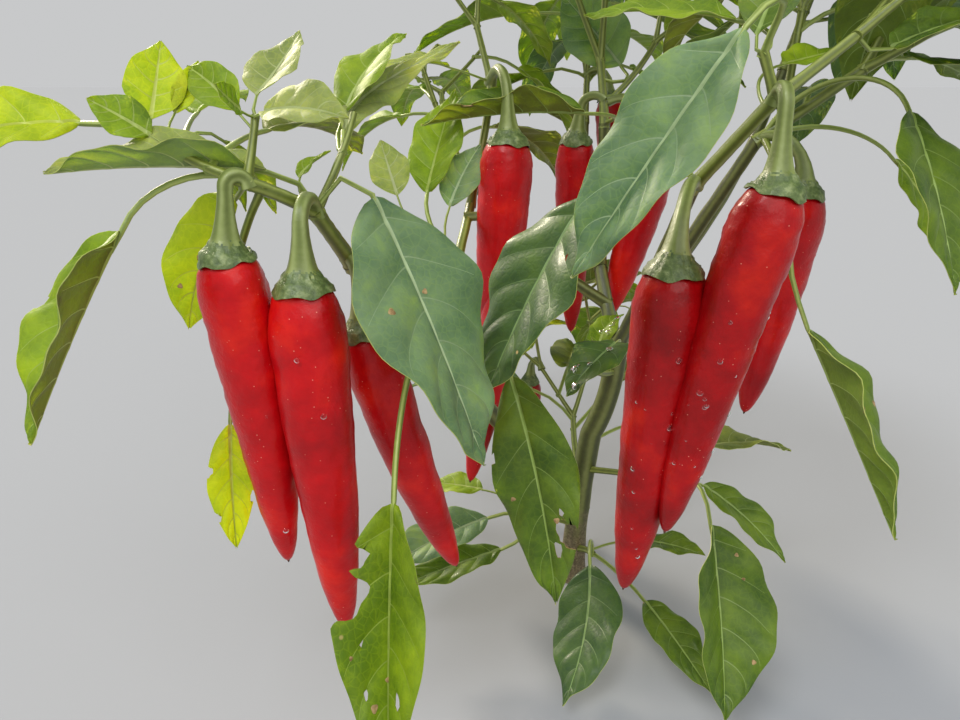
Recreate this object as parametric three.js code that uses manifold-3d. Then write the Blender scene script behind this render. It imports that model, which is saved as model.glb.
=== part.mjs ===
// A chilli pepper plant in full fruit, rooted in level ground.
// Lengths are millimetres and angles are degrees, with +Z up.
// The origin is the middle of the flat cut under the main stem.
// A heading of 0 points along +X and one of 90 along +Y. A rise is the angle above level.
// The plant is seen from -Y in the photograph, so +X is its right hand side.

import * as THREE from 'three';
import Module from 'manifold-3d';

const wasm = await Module();
wasm.setup();

// Air left between two parts that would touch.
const GAP = 0.3;
// Edges where organs join are cleaned up to one of these lengths, whichever leaves the soundest body.
const CLEANED_EDGES = [0.08, 0.09, 0.1, 0.11, 0.12, 0.13, 0.14, 0.16];
// Nothing that hangs comes nearer to the ground than this.
const GROUND_AIR = 5;
// Air that a grown leaf, twig or fruit keeps to all that is there already.
const ORGAN_AIR = 1.5;
// A new organ may be this near to others beside the place where it starts.
const ROOT_FREE = 14;
// A place where an organ doesn't fit is tried again this often in all, with other draws.
const TRIES = 7;

const LEAF = {
  thin: 0.014, // thickness at the midrib, as a share of the blade's length
  least: 0.9, // and no thinner than this
  petiole: [2.8, 2.0],
  base: 0.85, // the outline is share^base times (1 - share)^point, with its widest at 1
  point: 1.1,
  long: 85, // a longer blade has three stations, and a shorter one two
  body: 2.4, // half the depth of the air that a blade takes up
};
const FRUIT = {
  shoulder: 0.13, // share of the body in which the shoulder rounds over
  taper: 1.9,
  pedicel: [4.6, 6.6],
  calyxHigh: 9,
  calyxWide: 0.84, // share of the fruit's width
  share: 0.35, // of the grown nodes bear one
};
const BARK = '#67713a';
const FOLIAGE = '#3f7a35';

// The woody limbs. Each run bends evenly in heading and rise. A limb starts on the axis of
// another, at a share of its length, and thick is its diameter at both ends.
const LIMBS = {
  main_stem: {
    runs: [
      { length: 94, heading: [0, 0], rise: [90, 83] },
      { length: 52, heading: [0, 0], rise: [64, 92] },
    ],
    thick: [12.6, 11],
    flare: { out: 2.6, over: 9 },
    sides: 12,
  },
  left_bough: {
    on: 'main_stem', at: 0.32, sides: 8, thick: [10, 6],
    runs: [{ length: 217, heading: [-142, -128], rise: [51, 47] }],
  },
  right_front_bough: {
    on: 'main_stem', at: 0.99, sides: 8, thick: [7, 5.2],
    runs: [{ length: 127, heading: [-86, -86], rise: [44, 50] }],
  },
  right_back_bough: {
    on: 'main_stem', at: 0.99, sides: 8, thick: [7.6, 5.2],
    runs: [{ length: 120, heading: [-39, -39], rise: [61, 61] }],
  },
  centre_bough: {
    on: 'main_stem', at: 0.99, sides: 8, thick: [7.6, 5.2],
    runs: [
      { length: 49, heading: [98, 98], rise: [38, 50] },
      { length: 73, heading: [101, 101], rise: [85, 85] },
    ],
  },
  back_bough: {
    on: 'centre_bough', at: 0.4, sides: 8, thick: [6.2, 4.6],
    runs: [{ length: 105, heading: [98, 84], rise: [28, 60] }],
  },
  back_left_bough: {
    on: 'centre_bough', at: 0.22, sides: 8, thick: [6.2, 4.6],
    runs: [{ length: 104, heading: [172, 136], rise: [30, 44] }],
  },
  back_right_bough: {
    on: 'right_back_bough', at: 0.34, sides: 8, thick: [6, 4.6],
    runs: [{ length: 125, heading: [24, 46], rise: [44, 60] }],
  },
};

// The foliage masses. Each grows from one stem: its first twig starts on a limb, and every
// other organ starts on a twig, at a share of its length. A leaf has a heading and a rise at
// the petiole's start, at the blade's base and at its tip. A fruit hangs by a pedicel that
// hooks over and then drops, and leans is the heading and rise of its body. The space is an
// ellipsoid that grown shoots keep inside, and shoots grow on from the twigs in grows.
const MASSES = {
  left_front_foliage: {
    stem: {
      on: 'left_bough', at: 1, length: 28, heading: [-114, -114], rise: [48, 48], thick: [5.8, 5],
    },
    twigs: {
      fork: { on: 'stem', at: 1, length: 24, heading: [-133, -153], rise: [32, 22], thick: [4.6, 4] },
      outer: { on: 'fork', at: 1, length: 26, heading: [186, 146], rise: [21, 21], thick: [3.6, 2.6] },
      rising: { on: 'stem', at: 1, length: 37, heading: [45, 80], rise: [54, 48], thick: [3, 2.2] },
      upper: { on: 'fork', at: 1, length: 22, heading: [86, 86], rise: [50, 60], thick: [3, 2.2] },
      drooping: { on: 'fork', at: 0.8, length: 60, heading: [150, 150], rise: [-50, -88], thick: [2.6, 2] },
    },
    leaves: [
      { on: 'stem', at: 1, petiole: 28, blade: 92, wide: 50, heading: [25, -41, -38], rise: [89, -54, -67],
        roll: [15, -18], fold: 9 },
      { on: 'fork', at: 0.95, petiole: 48, blade: 67, wide: 36, heading: [-215, -123, -107],
        rise: [20, -52, -53], roll: [23, 24], fold: 38 },
      { on: 'stem', at: 0.9, petiole: 23, blade: 62, wide: 26, heading: [-173, -162, -162],
        rise: [84, 8, -6], roll: [-5, -5], fold: 50 },
      { on: 'outer', at: 0.9, petiole: 36, blade: 66, wide: 27, heading: [145, 178, 188], rise: [24, 2, -20],
        roll: [-40, -45], fold: 15 },
      { on: 'fork', at: 1, petiole: 24, blade: 55, wide: 31, heading: [90, 150, 190], rise: [10, -44, -80],
        roll: [-60, -95], fold: 10 },
      { on: 'outer', at: 1, petiole: 16, blade: 26, wide: 19, heading: [180, 85, 75], rise: [4, 58, 68],
        roll: [20, 36], fold: 14 },
      { on: 'outer', at: 0.8, petiole: 12, blade: 20, wide: 14, heading: [150, 180, 190], rise: [20, 36, 28],
        roll: [-50, -60], fold: 18 },
      { on: 'outer', at: 1, petiole: 16, blade: 20, wide: 9, heading: [137, 64, 64], rise: [30, 46, 56],
        roll: [40, 50], fold: 30 },
      { on: 'upper', at: 0.8, petiole: 11, blade: 24, wide: 15, heading: [125, 150, 150], rise: [20, 43, 23],
        roll: [-40, -50], fold: 20 },
      { on: 'upper', at: 1, petiole: 9, blade: 31, wide: 23, heading: [130, 70, 58], rise: [60, 30, 49],
        roll: [0, -6], fold: 20 },
      { on: 'upper', at: 1, petiole: 9, blade: 33, wide: 19, heading: [-80, -36, -24], rise: [10, 12, -16],
        roll: [35, 40], fold: 24 },
      { on: 'upper', at: 1, petiole: 6, blade: 14, wide: 10, heading: [-120, -110, -105], rise: [10, 30, 36],
        roll: [-60, -80], fold: 20 },
      { on: 'rising', at: 0.62, petiole: 8, blade: 71, wide: 16, heading: [88, 95, 5], rise: [79, 24, 24],
        roll: [27, 27], fold: 3 },
      { on: 'rising', at: 0.6, petiole: 21, blade: 44, wide: 24, heading: [125, 60, 50], rise: [10, 56, 20],
        roll: [0, -8], fold: 18 },
      { on: 'stem', at: 1, petiole: 15, blade: 15, wide: 9, heading: [181, 79, -22], rise: [46, 37, 28],
        roll: [0, 0], fold: 25 },
      { on: 'drooping', at: 1, petiole: 28, blade: 48, wide: 17, heading: [-210, -100, -90],
        rise: [-80, -76, -84], roll: [-20, -26], fold: 16 },
    ],
    fruits: [
      { on: 'fork', at: 1, heading: -149, rise: 75, hook: 9, drop: 23, body: 110, wide: 22, leans: [17, -86] },
      { on: 'stem', at: 1, heading: -96, rise: 70, hook: 22, drop: 20, body: 123, wide: 24, leans: [-46, -86] },
      { on: 'stem', at: 0.15, heading: -53, rise: 3, hook: 9, drop: 22, body: 109, wide: 21, leans: [17, -73] },
    ],
    space: { middle: [-150, -60, 230], reach: [60, 50, 50] },
    grows: [{ on: 'outer', levels: 0, length: 30, blade: 56, seed: 101 }],
  },
  left_crown_foliage: {
    stem: {
      on: 'left_bough', at: 0.72, length: 89, heading: [79, 79], rise: [34, 34], thick: [5, 4.2],
    },
    twigs: {
      middle: { on: 'stem', at: 1, length: 60, heading: [40, 84], rise: [75, 60], thick: [4.2, 3.4] },
      top: { on: 'middle', at: 1, length: 31, heading: [114, 114], rise: [57, 57], thick: [3.4, 2.8] },
    },
    leaves: [
      { on: 'stem', at: 0.08, petiole: 104, blade: 82, wide: 41, heading: [-99, -94, -84],
        rise: [34, -64, -46], roll: [13, 3], fold: 47 },
      { on: 'stem', at: 0.05, petiole: 57, blade: 94, wide: 32, heading: [-52, -48, -46],
        rise: [66, -65, -81], roll: [50, 58], fold: 12 },
      { on: 'stem', at: 0.55, petiole: 39, blade: 59, wide: 29, heading: [183, 79, 62], rise: [55, 44, 55],
        roll: [-6, 1], fold: 23 },
      { on: 'stem', at: 0.6, petiole: 28, blade: 34, wide: 21, heading: [154, 47, 39], rise: [35, 62, 45],
        roll: [26, 23], fold: 17 },
      { on: 'stem', at: 0.5, petiole: 44, blade: 28, wide: 19, heading: [190, 122, 122], rise: [40, 56, 56],
        roll: [-20, -27], fold: 14 },
      { on: 'middle', at: 1, petiole: 22, blade: 34, wide: 14, heading: [-144, -173, -173], rise: [18, 17, -23],
        roll: [-10, -20], fold: 30 },
    ],
    fruits: [
      { on: 'middle', at: 1, heading: -75, rise: 50, hook: 37, drop: 19, body: 119, wide: 25, leans: [-147, -87] },
      { on: 'stem', at: 0.9, heading: -7, rise: 15, hook: 29, drop: 7, body: 111, wide: 21, leans: [-128, -73] },
    ],
    space: { middle: [-46, 40, 350], reach: [66, 70, 84] },
    grows: [{ on: 'top', levels: 2, length: 44, blade: 70, bears: 0, seed: 202 }],
  },
  centre_crown_foliage: {
    stem: {
      on: 'centre_bough', at: 1, length: 34, heading: [100, 100], rise: [76, 62], thick: [4.8, 4],
    },
    twigs: {
      low: { on: 'stem', at: 0.3, length: 40, heading: [0, 20], rise: [40, 60], thick: [3.4, 2.8] },
    },
    leaves: [
      { on: 'stem', at: 0.7, petiole: 28, blade: 50, wide: 36, heading: [-60, 151, 151], rise: [-20, 48, 43],
        roll: [-50, -60], fold: 10 },
      { on: 'stem', at: 0.05, petiole: 40, blade: 79, wide: 32, heading: [-58, -171, -171], rise: [13, 4, -12],
        roll: [-4, -6], fold: 50 },
    ],
    fruits: [
      { on: 'stem', at: 0.4, heading: 155, rise: 40, hook: 16, drop: 18, body: 112, wide: 22, leans: [75, -82] },
      { on: 'low', at: 0.1, heading: -10, rise: 20, hook: 34, drop: 16, body: 84, wide: 23, leans: [-170, -76] },
    ],
    space: { middle: [15, 40, 370], reach: [80, 80, 90] },
    grows: [
      { on: 'stem', levels: 2, length: 48, blade: 78, bears: 0, seed: 303 },
      { on: 'low', levels: 1, length: 44, blade: 74, seed: 404 },
    ],
  },
  right_front_foliage: {
    stem: {
      on: 'right_front_bough', at: 1, length: 43, heading: [-62, -62], rise: [44, 44], thick: [5, 4.4],
    },
    twigs: {
      outer: { on: 'stem', at: 1, length: 32, heading: [16, 16], rise: [35, 35], thick: [4, 3.2] },
      upper: { on: 'stem', at: 1, length: 14, heading: [172, 172], rise: [68, 68], thick: [3.4, 3] },
    },
    leaves: [
      { on: 'stem', at: 0.05, petiole: 49, blade: 76, wide: 46, heading: [-167, -157, -153],
        rise: [47, -54, -67], roll: [-4, -5], fold: 14 },
      { on: 'upper', at: 1, petiole: 42, blade: 81, wide: 35, heading: [-67, -166, -177], rise: [73, -53, -60],
        roll: [-37, -32], fold: 23 },
      { on: 'upper', at: 1, petiole: 26, blade: 52, wide: 24, heading: [36, 156, 156], rise: [36, 13, -7],
        roll: [-15, -21], fold: 15 },
      { on: 'upper', at: 1, petiole: 11, blade: 34, wide: 20, heading: [119, 53, 53], rise: [10, 50, 50],
        roll: [5, 13], fold: 20 },
      { on: 'stem', at: 0.9, petiole: 39, blade: 30, wide: 16, heading: [97, 32, 32], rise: [31, 10, 10],
        roll: [15, 24], fold: 20 },
      { on: 'outer', at: 1, petiole: 16, blade: 42, wide: 22, heading: [26, 14, 14], rise: [-50, 24, 7],
        roll: [10, 19], fold: 20 },
    ],
    fruits: [
      { on: 'stem', at: 0.03, heading: -113, rise: 21, hook: 47, drop: 4, body: 123, wide: 25, leans: [-160, -86] },
      { on: 'stem', at: 1, heading: -94, rise: 64, hook: 15, drop: 26, body: 121, wide: 23, leans: [-175, -79] },
    ],
    space: { middle: [88, -90, 335], reach: [78, 66, 80] },
    grows: [{ on: 'outer', levels: 2, length: 44, blade: 76, seed: 505 }],
  },
  right_crown_foliage: {
    stem: {
      on: 'right_back_bough', at: 1, length: 46, heading: [-8, -8], rise: [37, 37], thick: [5, 4.2],
    },
    twigs: {
      upper: { on: 'stem', at: 0.25, length: 48, heading: [70, 60], rise: [62, 70], thick: [3.8, 3] },
      hanging: { on: 'stem', at: 0.05, length: 60, heading: [-92, -92], rise: [-20, -58], thick: [3, 2.4] },
    },
    leaves: [
      { on: 'stem', at: 0.05, petiole: 72, blade: 68, wide: 38, heading: [-23, -83, -75], rise: [69, -46, -68],
        roll: [-14, -23], fold: 15 },
      { on: 'stem', at: 0.05, petiole: 56, blade: 49, wide: 24, heading: [-24, 2, -36], rise: [25, -42, -66],
        roll: [39, 33], fold: 9 },
      { on: 'hanging', at: 1, petiole: 31, blade: 82, wide: 42, heading: [-22, -58, -64], rise: [-81, -54, -53],
        roll: [-26, -36], fold: 34 },
    ],
    fruits: [
      { on: 'stem', at: 0.02, heading: -58, rise: 27, hook: 31, drop: 9, body: 94, wide: 22, leans: [-171, -83] },
    ],
    space: { middle: [105, -10, 345], reach: [82, 78, 92] },
    grows: [
      { on: 'stem', levels: 2, length: 46, blade: 76, bears: 0, seed: 614 },
      { on: 'upper', levels: 2, length: 44, blade: 74, bears: 0, seed: 713 },
    ],
  },
  inner_front_foliage: {
    stem: {
      on: 'main_stem', at: 0.9, length: 48, heading: [-115, -115], rise: [12, 32], thick: [3.4, 2.8],
    },
    twigs: {},
    leaves: [
      { on: 'stem', at: 0.25, petiole: 46, blade: 40, wide: 26, heading: [-67, -116, -166], rise: [75, 6, -62],
        roll: [0, 0], fold: 18 },
      { on: 'stem', at: 0.3, petiole: 15, blade: 25, wide: 16, heading: [147, 80, 12], rise: [62, 41, 20],
        roll: [0, 0], fold: 20 },
    ],
    fruits: [],
    space: { middle: [0, 0, 0], reach: [1, 1, 1] },
    grows: [],
  },
  low_right_foliage: {
    stem: {
      on: 'main_stem', at: 0.49, length: 64, heading: [-46, -46], rise: [17, 17], thick: [3.6, 2.8],
    },
    twigs: {},
    leaves: [
      { on: 'stem', at: 1, petiole: 37, blade: 81, wide: 52, heading: [-85, -83, -101], rise: [46, -58, -45],
        roll: [-31, -25], fold: 32 },
      { on: 'stem', at: 1, petiole: 9, blade: 50, wide: 22, heading: [-52, -38, -38], rise: [29, -16, -46],
        roll: [5, 8], fold: 20 },
    ],
    fruits: [],
    space: { middle: [66, 45, 100], reach: [55, 55, 50] },
    grows: [{ on: 'stem', levels: 1, length: 40, blade: 62, turn: 50, seed: 808 }],
  },
  low_front_foliage: {
    stem: {
      on: 'main_stem', at: 0.13, length: 24, heading: [-60, -80], rise: [35, 20], thick: [4, 3.2],
    },
    twigs: {},
    leaves: [
      { on: 'stem', at: 1, petiole: 37, blade: 70, wide: 35, heading: [-114, -94, -121], rise: [84, -32, -26],
        roll: [20, 28], fold: 4 },
      { on: 'stem', at: 0.9, petiole: 46, blade: 54, wide: 22, heading: [-58, -68, -68], rise: [6, -4, -17],
        roll: [5, 7], fold: 20 },
      { on: 'stem', at: 0.8, petiole: 32, blade: 36, wide: 18, heading: [0, -42, -42], rise: [30, 22, 2],
        roll: [5, 8], fold: 20 },
    ],
    fruits: [],
    space: { middle: [0, 0, 0], reach: [1, 1, 1] },
    grows: [],
  },
  low_left_foliage: {
    stem: {
      on: 'main_stem', at: 0.24, length: 34, heading: [-160, -150], rise: [30, 24], thick: [3.6, 2.8],
    },
    twigs: {},
    leaves: [
      { on: 'stem', at: 1, petiole: 26, blade: 60, wide: 30, heading: [-154, -154, -154], rise: [26, -3, -23],
        roll: [-8, -11], fold: 18 },
      { on: 'stem', at: 0.7, petiole: 39, blade: 36, wide: 20, heading: [150, 154, 154], rise: [20, -2, -12],
        roll: [-8, -11], fold: 18 },
      { on: 'stem', at: 0.8, petiole: 30, blade: 60, wide: 24, heading: [-120, -158, -158], rise: [-30, -5, -10],
        roll: [-8, -11], fold: 20 },
    ],
    fruits: [],
    space: { middle: [0, 0, 0], reach: [1, 1, 1] },
    grows: [],
  },
  low_back_foliage: {
    stem: {
      on: 'main_stem', at: 0.44, length: 42, heading: [100, 85], rise: [25, 40], thick: [4, 3],
    },
    twigs: {},
    leaves: [],
    fruits: [],
    space: { middle: [5, 85, 105], reach: [80, 70, 60] },
    grows: [{ on: 'stem', levels: 2, length: 42, blade: 70, seed: 909 }],
  },
  back_left_foliage: {
    stem: {
      on: 'back_left_bough', at: 1, length: 26, heading: [136, 126], rise: [44, 50], thick: [4.4, 3.6],
    },
    twigs: {},
    leaves: [],
    fruits: [],
    space: { middle: [-58, 108, 238], reach: [78, 78, 78] },
    grows: [{ on: 'stem', levels: 3, length: 40, blade: 72, bears: 0, seed: 1020 }],
  },
  back_foliage: {
    stem: {
      on: 'back_bough', at: 1, length: 30, heading: [84, 80], rise: [60, 64], thick: [4.4, 3.6],
    },
    twigs: {},
    leaves: [],
    fruits: [],
    space: { middle: [12, 145, 305], reach: [88, 80, 105] },
    grows: [{ on: 'stem', levels: 3, length: 44, blade: 74, bears: 0.4, seed: 1147 }],
  },
  back_right_foliage: {
    stem: {
      on: 'back_right_bough', at: 1, length: 30, heading: [46, 40], rise: [60, 64], thick: [4.4, 3.6],
    },
    twigs: {},
    leaves: [],
    fruits: [],
    space: { middle: [128, 92, 290], reach: [88, 86, 112] },
    grows: [{ on: 'stem', levels: 3, length: 44, blade: 74, bears: 0, seed: 1221 }],
  },
};

const radians = THREE.MathUtils.degToRad;

function toward(heading, rise) {
  const flat = Math.cos(radians(rise));
  return new THREE.Vector3(
    flat * Math.cos(radians(heading)), flat * Math.sin(radians(heading)), Math.sin(radians(rise)));
}

function blend(from, to, share) {
  return from + (to - from) * share;
}

// The axis of a limb, twig, petiole or fruit: a chain of runs that each bend evenly.
class Axis {
  constructor(start, runs) {
    const steps = 24;
    this.length = runs.reduce((sum, run) => sum + run.length, 0);
    this.marks = [{
      point: start.clone(), heading: runs[0].heading[0], rise: runs[0].rise[0], gone: 0,
    }];
    let point = start.clone();
    let gone = 0;
    for (const run of runs) {
      for (let step = 1; step <= steps; step += 1) {
        const middle = (step - 0.5) / steps;
        const end = step / steps;
        const heading = blend(...run.heading, middle);
        const rise = blend(...run.rise, middle);
        point = point.clone().addScaledVector(toward(heading, rise), run.length / steps);
        gone += run.length / steps;
        this.marks.push({ point, heading: blend(...run.heading, end), rise: blend(...run.rise, end), gone });
      }
    }
  }

  // The place, heading, rise and cross directions at a share of the length.
  at(share, roll = 0) {
    const gone = THREE.MathUtils.clamp(share, 0, 1) * this.length;
    let index = 1;
    while (index < this.marks.length - 1 && this.marks[index].gone < gone) {
      index += 1;
    }
    const before = this.marks[index - 1];
    const after = this.marks[index];
    const part = (gone - before.gone) / Math.max(after.gone - before.gone, 1e-9);
    const heading = blend(before.heading, after.heading, part);
    const rise = blend(before.rise, after.rise, part);
    const along = toward(heading, rise);
    const level = new THREE.Vector3(Math.sin(radians(heading)), -Math.cos(radians(heading)), 0);
    const above = new THREE.Vector3().crossVectors(level, along);
    const cos = Math.cos(radians(roll));
    const sin = Math.sin(radians(roll));
    return {
      point: before.point.clone().lerp(after.point, part),
      heading,
      rise,
      along,
      side: level.clone().multiplyScalar(cos).addScaledVector(above, -sin),
      up: above.clone().multiplyScalar(cos).addScaledVector(level, sin),
    };
  }

  // How far the axis turns in all, which sets how many stations it needs.
  turning() {
    let sum = 0;
    for (let index = 1; index < this.marks.length; index += 1) {
      const before = this.marks[index - 1];
      const after = this.marks[index];
      sum += Math.abs(after.rise - before.rise);
      sum += Math.abs(after.heading - before.heading) * Math.cos(radians(after.rise));
    }
    return sum;
  }
}

// A closed solid through rings of points, where a ring of one point is a tip.
function solidThrough(rings, sideTurns = () => false) {
  const places = [];
  const triangles = [];
  const firsts = [];
  for (const ring of rings) {
    firsts.push(places.length / 3);
    for (const point of ring) {
      places.push(point.x, point.y, point.z);
    }
  }
  for (let index = 1; index < rings.length; index += 1) {
    const low = rings[index - 1].length;
    const high = rings[index].length;
    const sides = Math.max(low, high);
    for (let side = 0; side < sides; side += 1) {
      const next = (side + 1) % sides;
      const a = firsts[index - 1] + (low === 1 ? 0 : side);
      const b = firsts[index] + (high === 1 ? 0 : side);
      const c = firsts[index - 1] + (low === 1 ? 0 : next);
      const d = firsts[index] + (high === 1 ? 0 : next);
      const turns = low > 1 && high > 1 && sideTurns(side, sides);
      if (low > 1) {
        triangles.push(a, turns ? d : b, c);
      }
      if (high > 1) {
        triangles.push(turns ? a : c, b, d);
      }
    }
  }
  const last = rings.length - 1;
  for (let side = 1; side < rings[0].length - 1; side += 1) {
    triangles.push(firsts[0], firsts[0] + side, firsts[0] + side + 1);
  }
  for (let side = 1; side < rings[last].length - 1; side += 1) {
    triangles.push(firsts[last], firsts[last] + side + 1, firsts[last] + side);
  }
  return new wasm.Manifold(new wasm.Mesh({
    numProp: 3,
    vertProperties: new Float32Array(places),
    triVerts: new Uint32Array(triangles),
  }));
}

function ringAt(frame, radius, sides) {
  const ring = [];
  for (let side = 0; side < sides; side += 1) {
    const angle = (2 * Math.PI * side) / sides;
    ring.push(frame.point.clone()
      .addScaledVector(frame.side, radius * Math.cos(angle))
      .addScaledVector(frame.up, radius * Math.sin(angle)));
  }
  return ring;
}

// A round solid along an axis. The radius is a function of the share gone, extra is added all
// round it, and sink carries its root back into what bears it.
function rod(axis, radiusAt, { sides, stations, sink = 0, extra = 0 }) {
  const rings = [];
  for (let index = 0; index <= stations; index += 1) {
    const share = index / stations;
    rings.push(ringAt(axis.at(share), radiusAt(share) + extra, sides));
  }
  if (sink > 0) {
    const root = axis.at(0);
    root.point.addScaledVector(root.along, -sink);
    rings.unshift(ringAt(root, radiusAt(0) + extra, sides));
  }
  return solidThrough(rings);
}

function limbRadius(limb, share) {
  const flare = limb.flare ? limb.flare.out * Math.exp((-share * limb.axis.length) / limb.flare.over) : 0;
  return blend(limb.thick[0], limb.thick[1], share) / 2 + flare;
}

function limbSolid(limb, extra) {
  const stations = Math.ceil(limb.axis.length / (limb.flare ? 12 : 20));
  return rod(limb.axis, (share) => limbRadius(limb, share), { sides: limb.sides, stations, extra });
}

function twigSolid(twig, extra) {
  const stations = 1 + Math.ceil(twig.axis.turning() / 30);
  const radiusAt = (share) => blend(twig.thick[0], twig.thick[1], share) / 2;
  return rod(twig.axis, radiusAt, { sides: twig.sides, stations, sink: twig.sink, extra });
}

// Half the width of a blade at a share of its length, as a share of the widest.
function leafOutline(share) {
  const widest = LEAF.base / (LEAF.base + LEAF.point);
  const most = widest ** LEAF.base * (1 - widest) ** LEAF.point;
  return (Math.max(share, 0) ** LEAF.base * Math.max(1 - share, 0) ** LEAF.point) / most;
}

// A leaf: a thin petiole that widens into a pointed blade, folded up a little on both sides of
// its midrib. Its rings run right, top, left and bottom, and the blade's two faces crease along
// the same lines, from the midrib out to the margin, so they never meet in a twisted leaf.
function leafSolid(leaf, extra) {
  const bladeStart = leaf.petiole / (leaf.petiole + leaf.blade);
  const thick = Math.max(LEAF.least, LEAF.thin * leaf.blade) / 2;
  const rings = [];
  const ringOf = (frame, out, raise, high) => {
    const spot = (across, above) => frame.point.clone()
      .addScaledVector(frame.side, across).addScaledVector(frame.up, above);
    if (extra > 0) {
      rings.push([
        spot(out, raise - extra), spot(out, raise + extra), spot(0, high + extra),
        spot(-out, raise + extra), spot(-out, raise - extra), spot(0, -high - extra),
      ]);
    } else {
      rings.push([spot(out, raise), spot(0, high), spot(-out, raise), spot(0, -high)]);
    }
  };
  const bends = Math.abs(leaf.rise[1] - leaf.rise[0]) + Math.abs(leaf.heading[1] - leaf.heading[0]) / 2;
  const steps = 1 + Math.ceil(bends / 90);
  for (let step = 0; step <= steps; step += 1) {
    const radius = blend(...LEAF.petiole, step / steps) / 2;
    const frame = leaf.axis.at((bladeStart * step) / steps, leaf.roll[0]);
    if (step === 0) {
      frame.point.addScaledVector(frame.along, -1);
    }
    ringOf(frame, radius + extra, 0, radius);
  }
  for (const share of leaf.blade > LEAF.long ? [0.16, 0.42, 0.74] : [0.26, 0.64]) {
    const half = (leaf.wide / 2) * leafOutline(share) + extra;
    const frame = leaf.axis.at(blend(bladeStart, 1, share), blend(...leaf.roll, share));
    ringOf(frame, half * Math.cos(radians(leaf.fold)), half * Math.sin(radians(leaf.fold)), thick);
  }
  const tip = leaf.axis.at(1);
  rings.push([tip.point.clone().addScaledVector(tip.along, extra)]);
  return solidThrough(rings, (side, sides) => (side + 1) % (sides / 2) === 0);
}

// The radius of a fruit's body at a share of its length, as a share of the widest.
function fruitOutline(share) {
  const early = Math.max(0, 1 - share / FRUIT.shoulder);
  return Math.sqrt(Math.max(0, 1 - share ** FRUIT.taper)) * Math.sqrt(1 - 0.62 * early ** 2);
}

// A fruit: a hooked pedicel that widens into the calyx, and a long body that tapers to a tip.
function fruitSolids(fruit, extra) {
  const stalkLong = fruit.stalk.length;
  const stations = 1 + Math.ceil(fruit.stalk.turning() / 45);
  const stalk = rod(
    fruit.stalk, (share) => blend(...FRUIT.pedicel, share) / 2, { sides: 4, stations, sink: 1, extra });
  const rings = [];
  const calyxHalf = (fruit.wide * FRUIT.calyxWide) / 2;
  const calyx = [[FRUIT.calyxHigh, FRUIT.pedicel[1] / 2], [FRUIT.calyxHigh * 0.35, calyxHalf * 0.72]];
  for (const [before, radius] of calyx) {
    rings.push(ringAt(fruit.stalk.at(1 - before / stalkLong), radius + extra, fruit.sides));
  }
  for (const share of fruit.shares) {
    const frame = fruit.body.at(share, fruit.leans[0] - fruit.heading);
    rings.push(ringAt(frame, (fruit.wide / 2) * fruitOutline(share) + extra, fruit.sides));
  }
  const tip = fruit.body.at(1);
  rings.push([tip.point.clone().addScaledVector(tip.along, extra)]);
  return [stalk, solidThrough(rings)];
}

// Balls of air that an organ takes up: places with a radius, along its axis.
function ballsAlong(axis, radiusAt, spacing) {
  const balls = [];
  const count = Math.max(1, Math.round(axis.length / spacing));
  for (let index = 0; index <= count; index += 1) {
    const share = index / count;
    balls.push({ point: axis.at(share).point, radius: radiusAt(share) });
  }
  return balls;
}

function leafBalls(leaf) {
  const balls = [];
  const bladeStart = leaf.petiole / (leaf.petiole + leaf.blade);
  for (const share of [0.35, 0.7]) {
    balls.push({ point: leaf.axis.at(share * bladeStart).point, radius: 1 });
  }
  for (const share of [0.02, 0.2, 0.4, 0.6, 0.8, 1]) {
    const frame = leaf.axis.at(blend(bladeStart, 1, share), blend(...leaf.roll, share));
    const half = (leaf.wide / 2) * leafOutline(share) * 0.85;
    const across = half * Math.cos(radians(leaf.fold));
    const above = half * Math.sin(radians(leaf.fold));
    for (const hand of [-1, 0, 1]) {
      const point = frame.point.clone()
        .addScaledVector(frame.side, hand * across).addScaledVector(frame.up, Math.abs(hand) * above);
      balls.push({ point, radius: LEAF.body });
    }
  }
  return balls;
}

function makeTwig(sizes, bearer, root) {
  const twig = { ...sizes, kind: 'twig', sides: root ? 5 : 3, sink: root ? 0 : 1.5 };
  const start = bearer.axis.at(sizes.at);
  if (root && sizes.at === 1) {
    start.point.addScaledVector(toward(sizes.heading[0], sizes.rise[0]), GAP);
  }
  twig.axis = new Axis(start.point, [sizes]);
  twig.middle = twig.axis.at(1).point;
  twig.balls = ballsAlong(twig.axis, () => sizes.thick[0] / 2, 10);
  return twig;
}

function makeLeaf(sizes, bearer) {
  const [first, second, third] = sizes.heading;
  const [low, middle, high] = sizes.rise;
  const leaf = { ...sizes, kind: 'leaf' };
  leaf.axis = new Axis(bearer.axis.at(sizes.at).point, [
    { length: sizes.petiole, heading: [first, second], rise: [low, middle] },
    { length: sizes.blade, heading: [second, third], rise: [middle, high] },
  ]);
  leaf.middle = leaf.axis.at(0.7).point;
  leaf.balls = leafBalls(leaf);
  return leaf;
}

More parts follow.
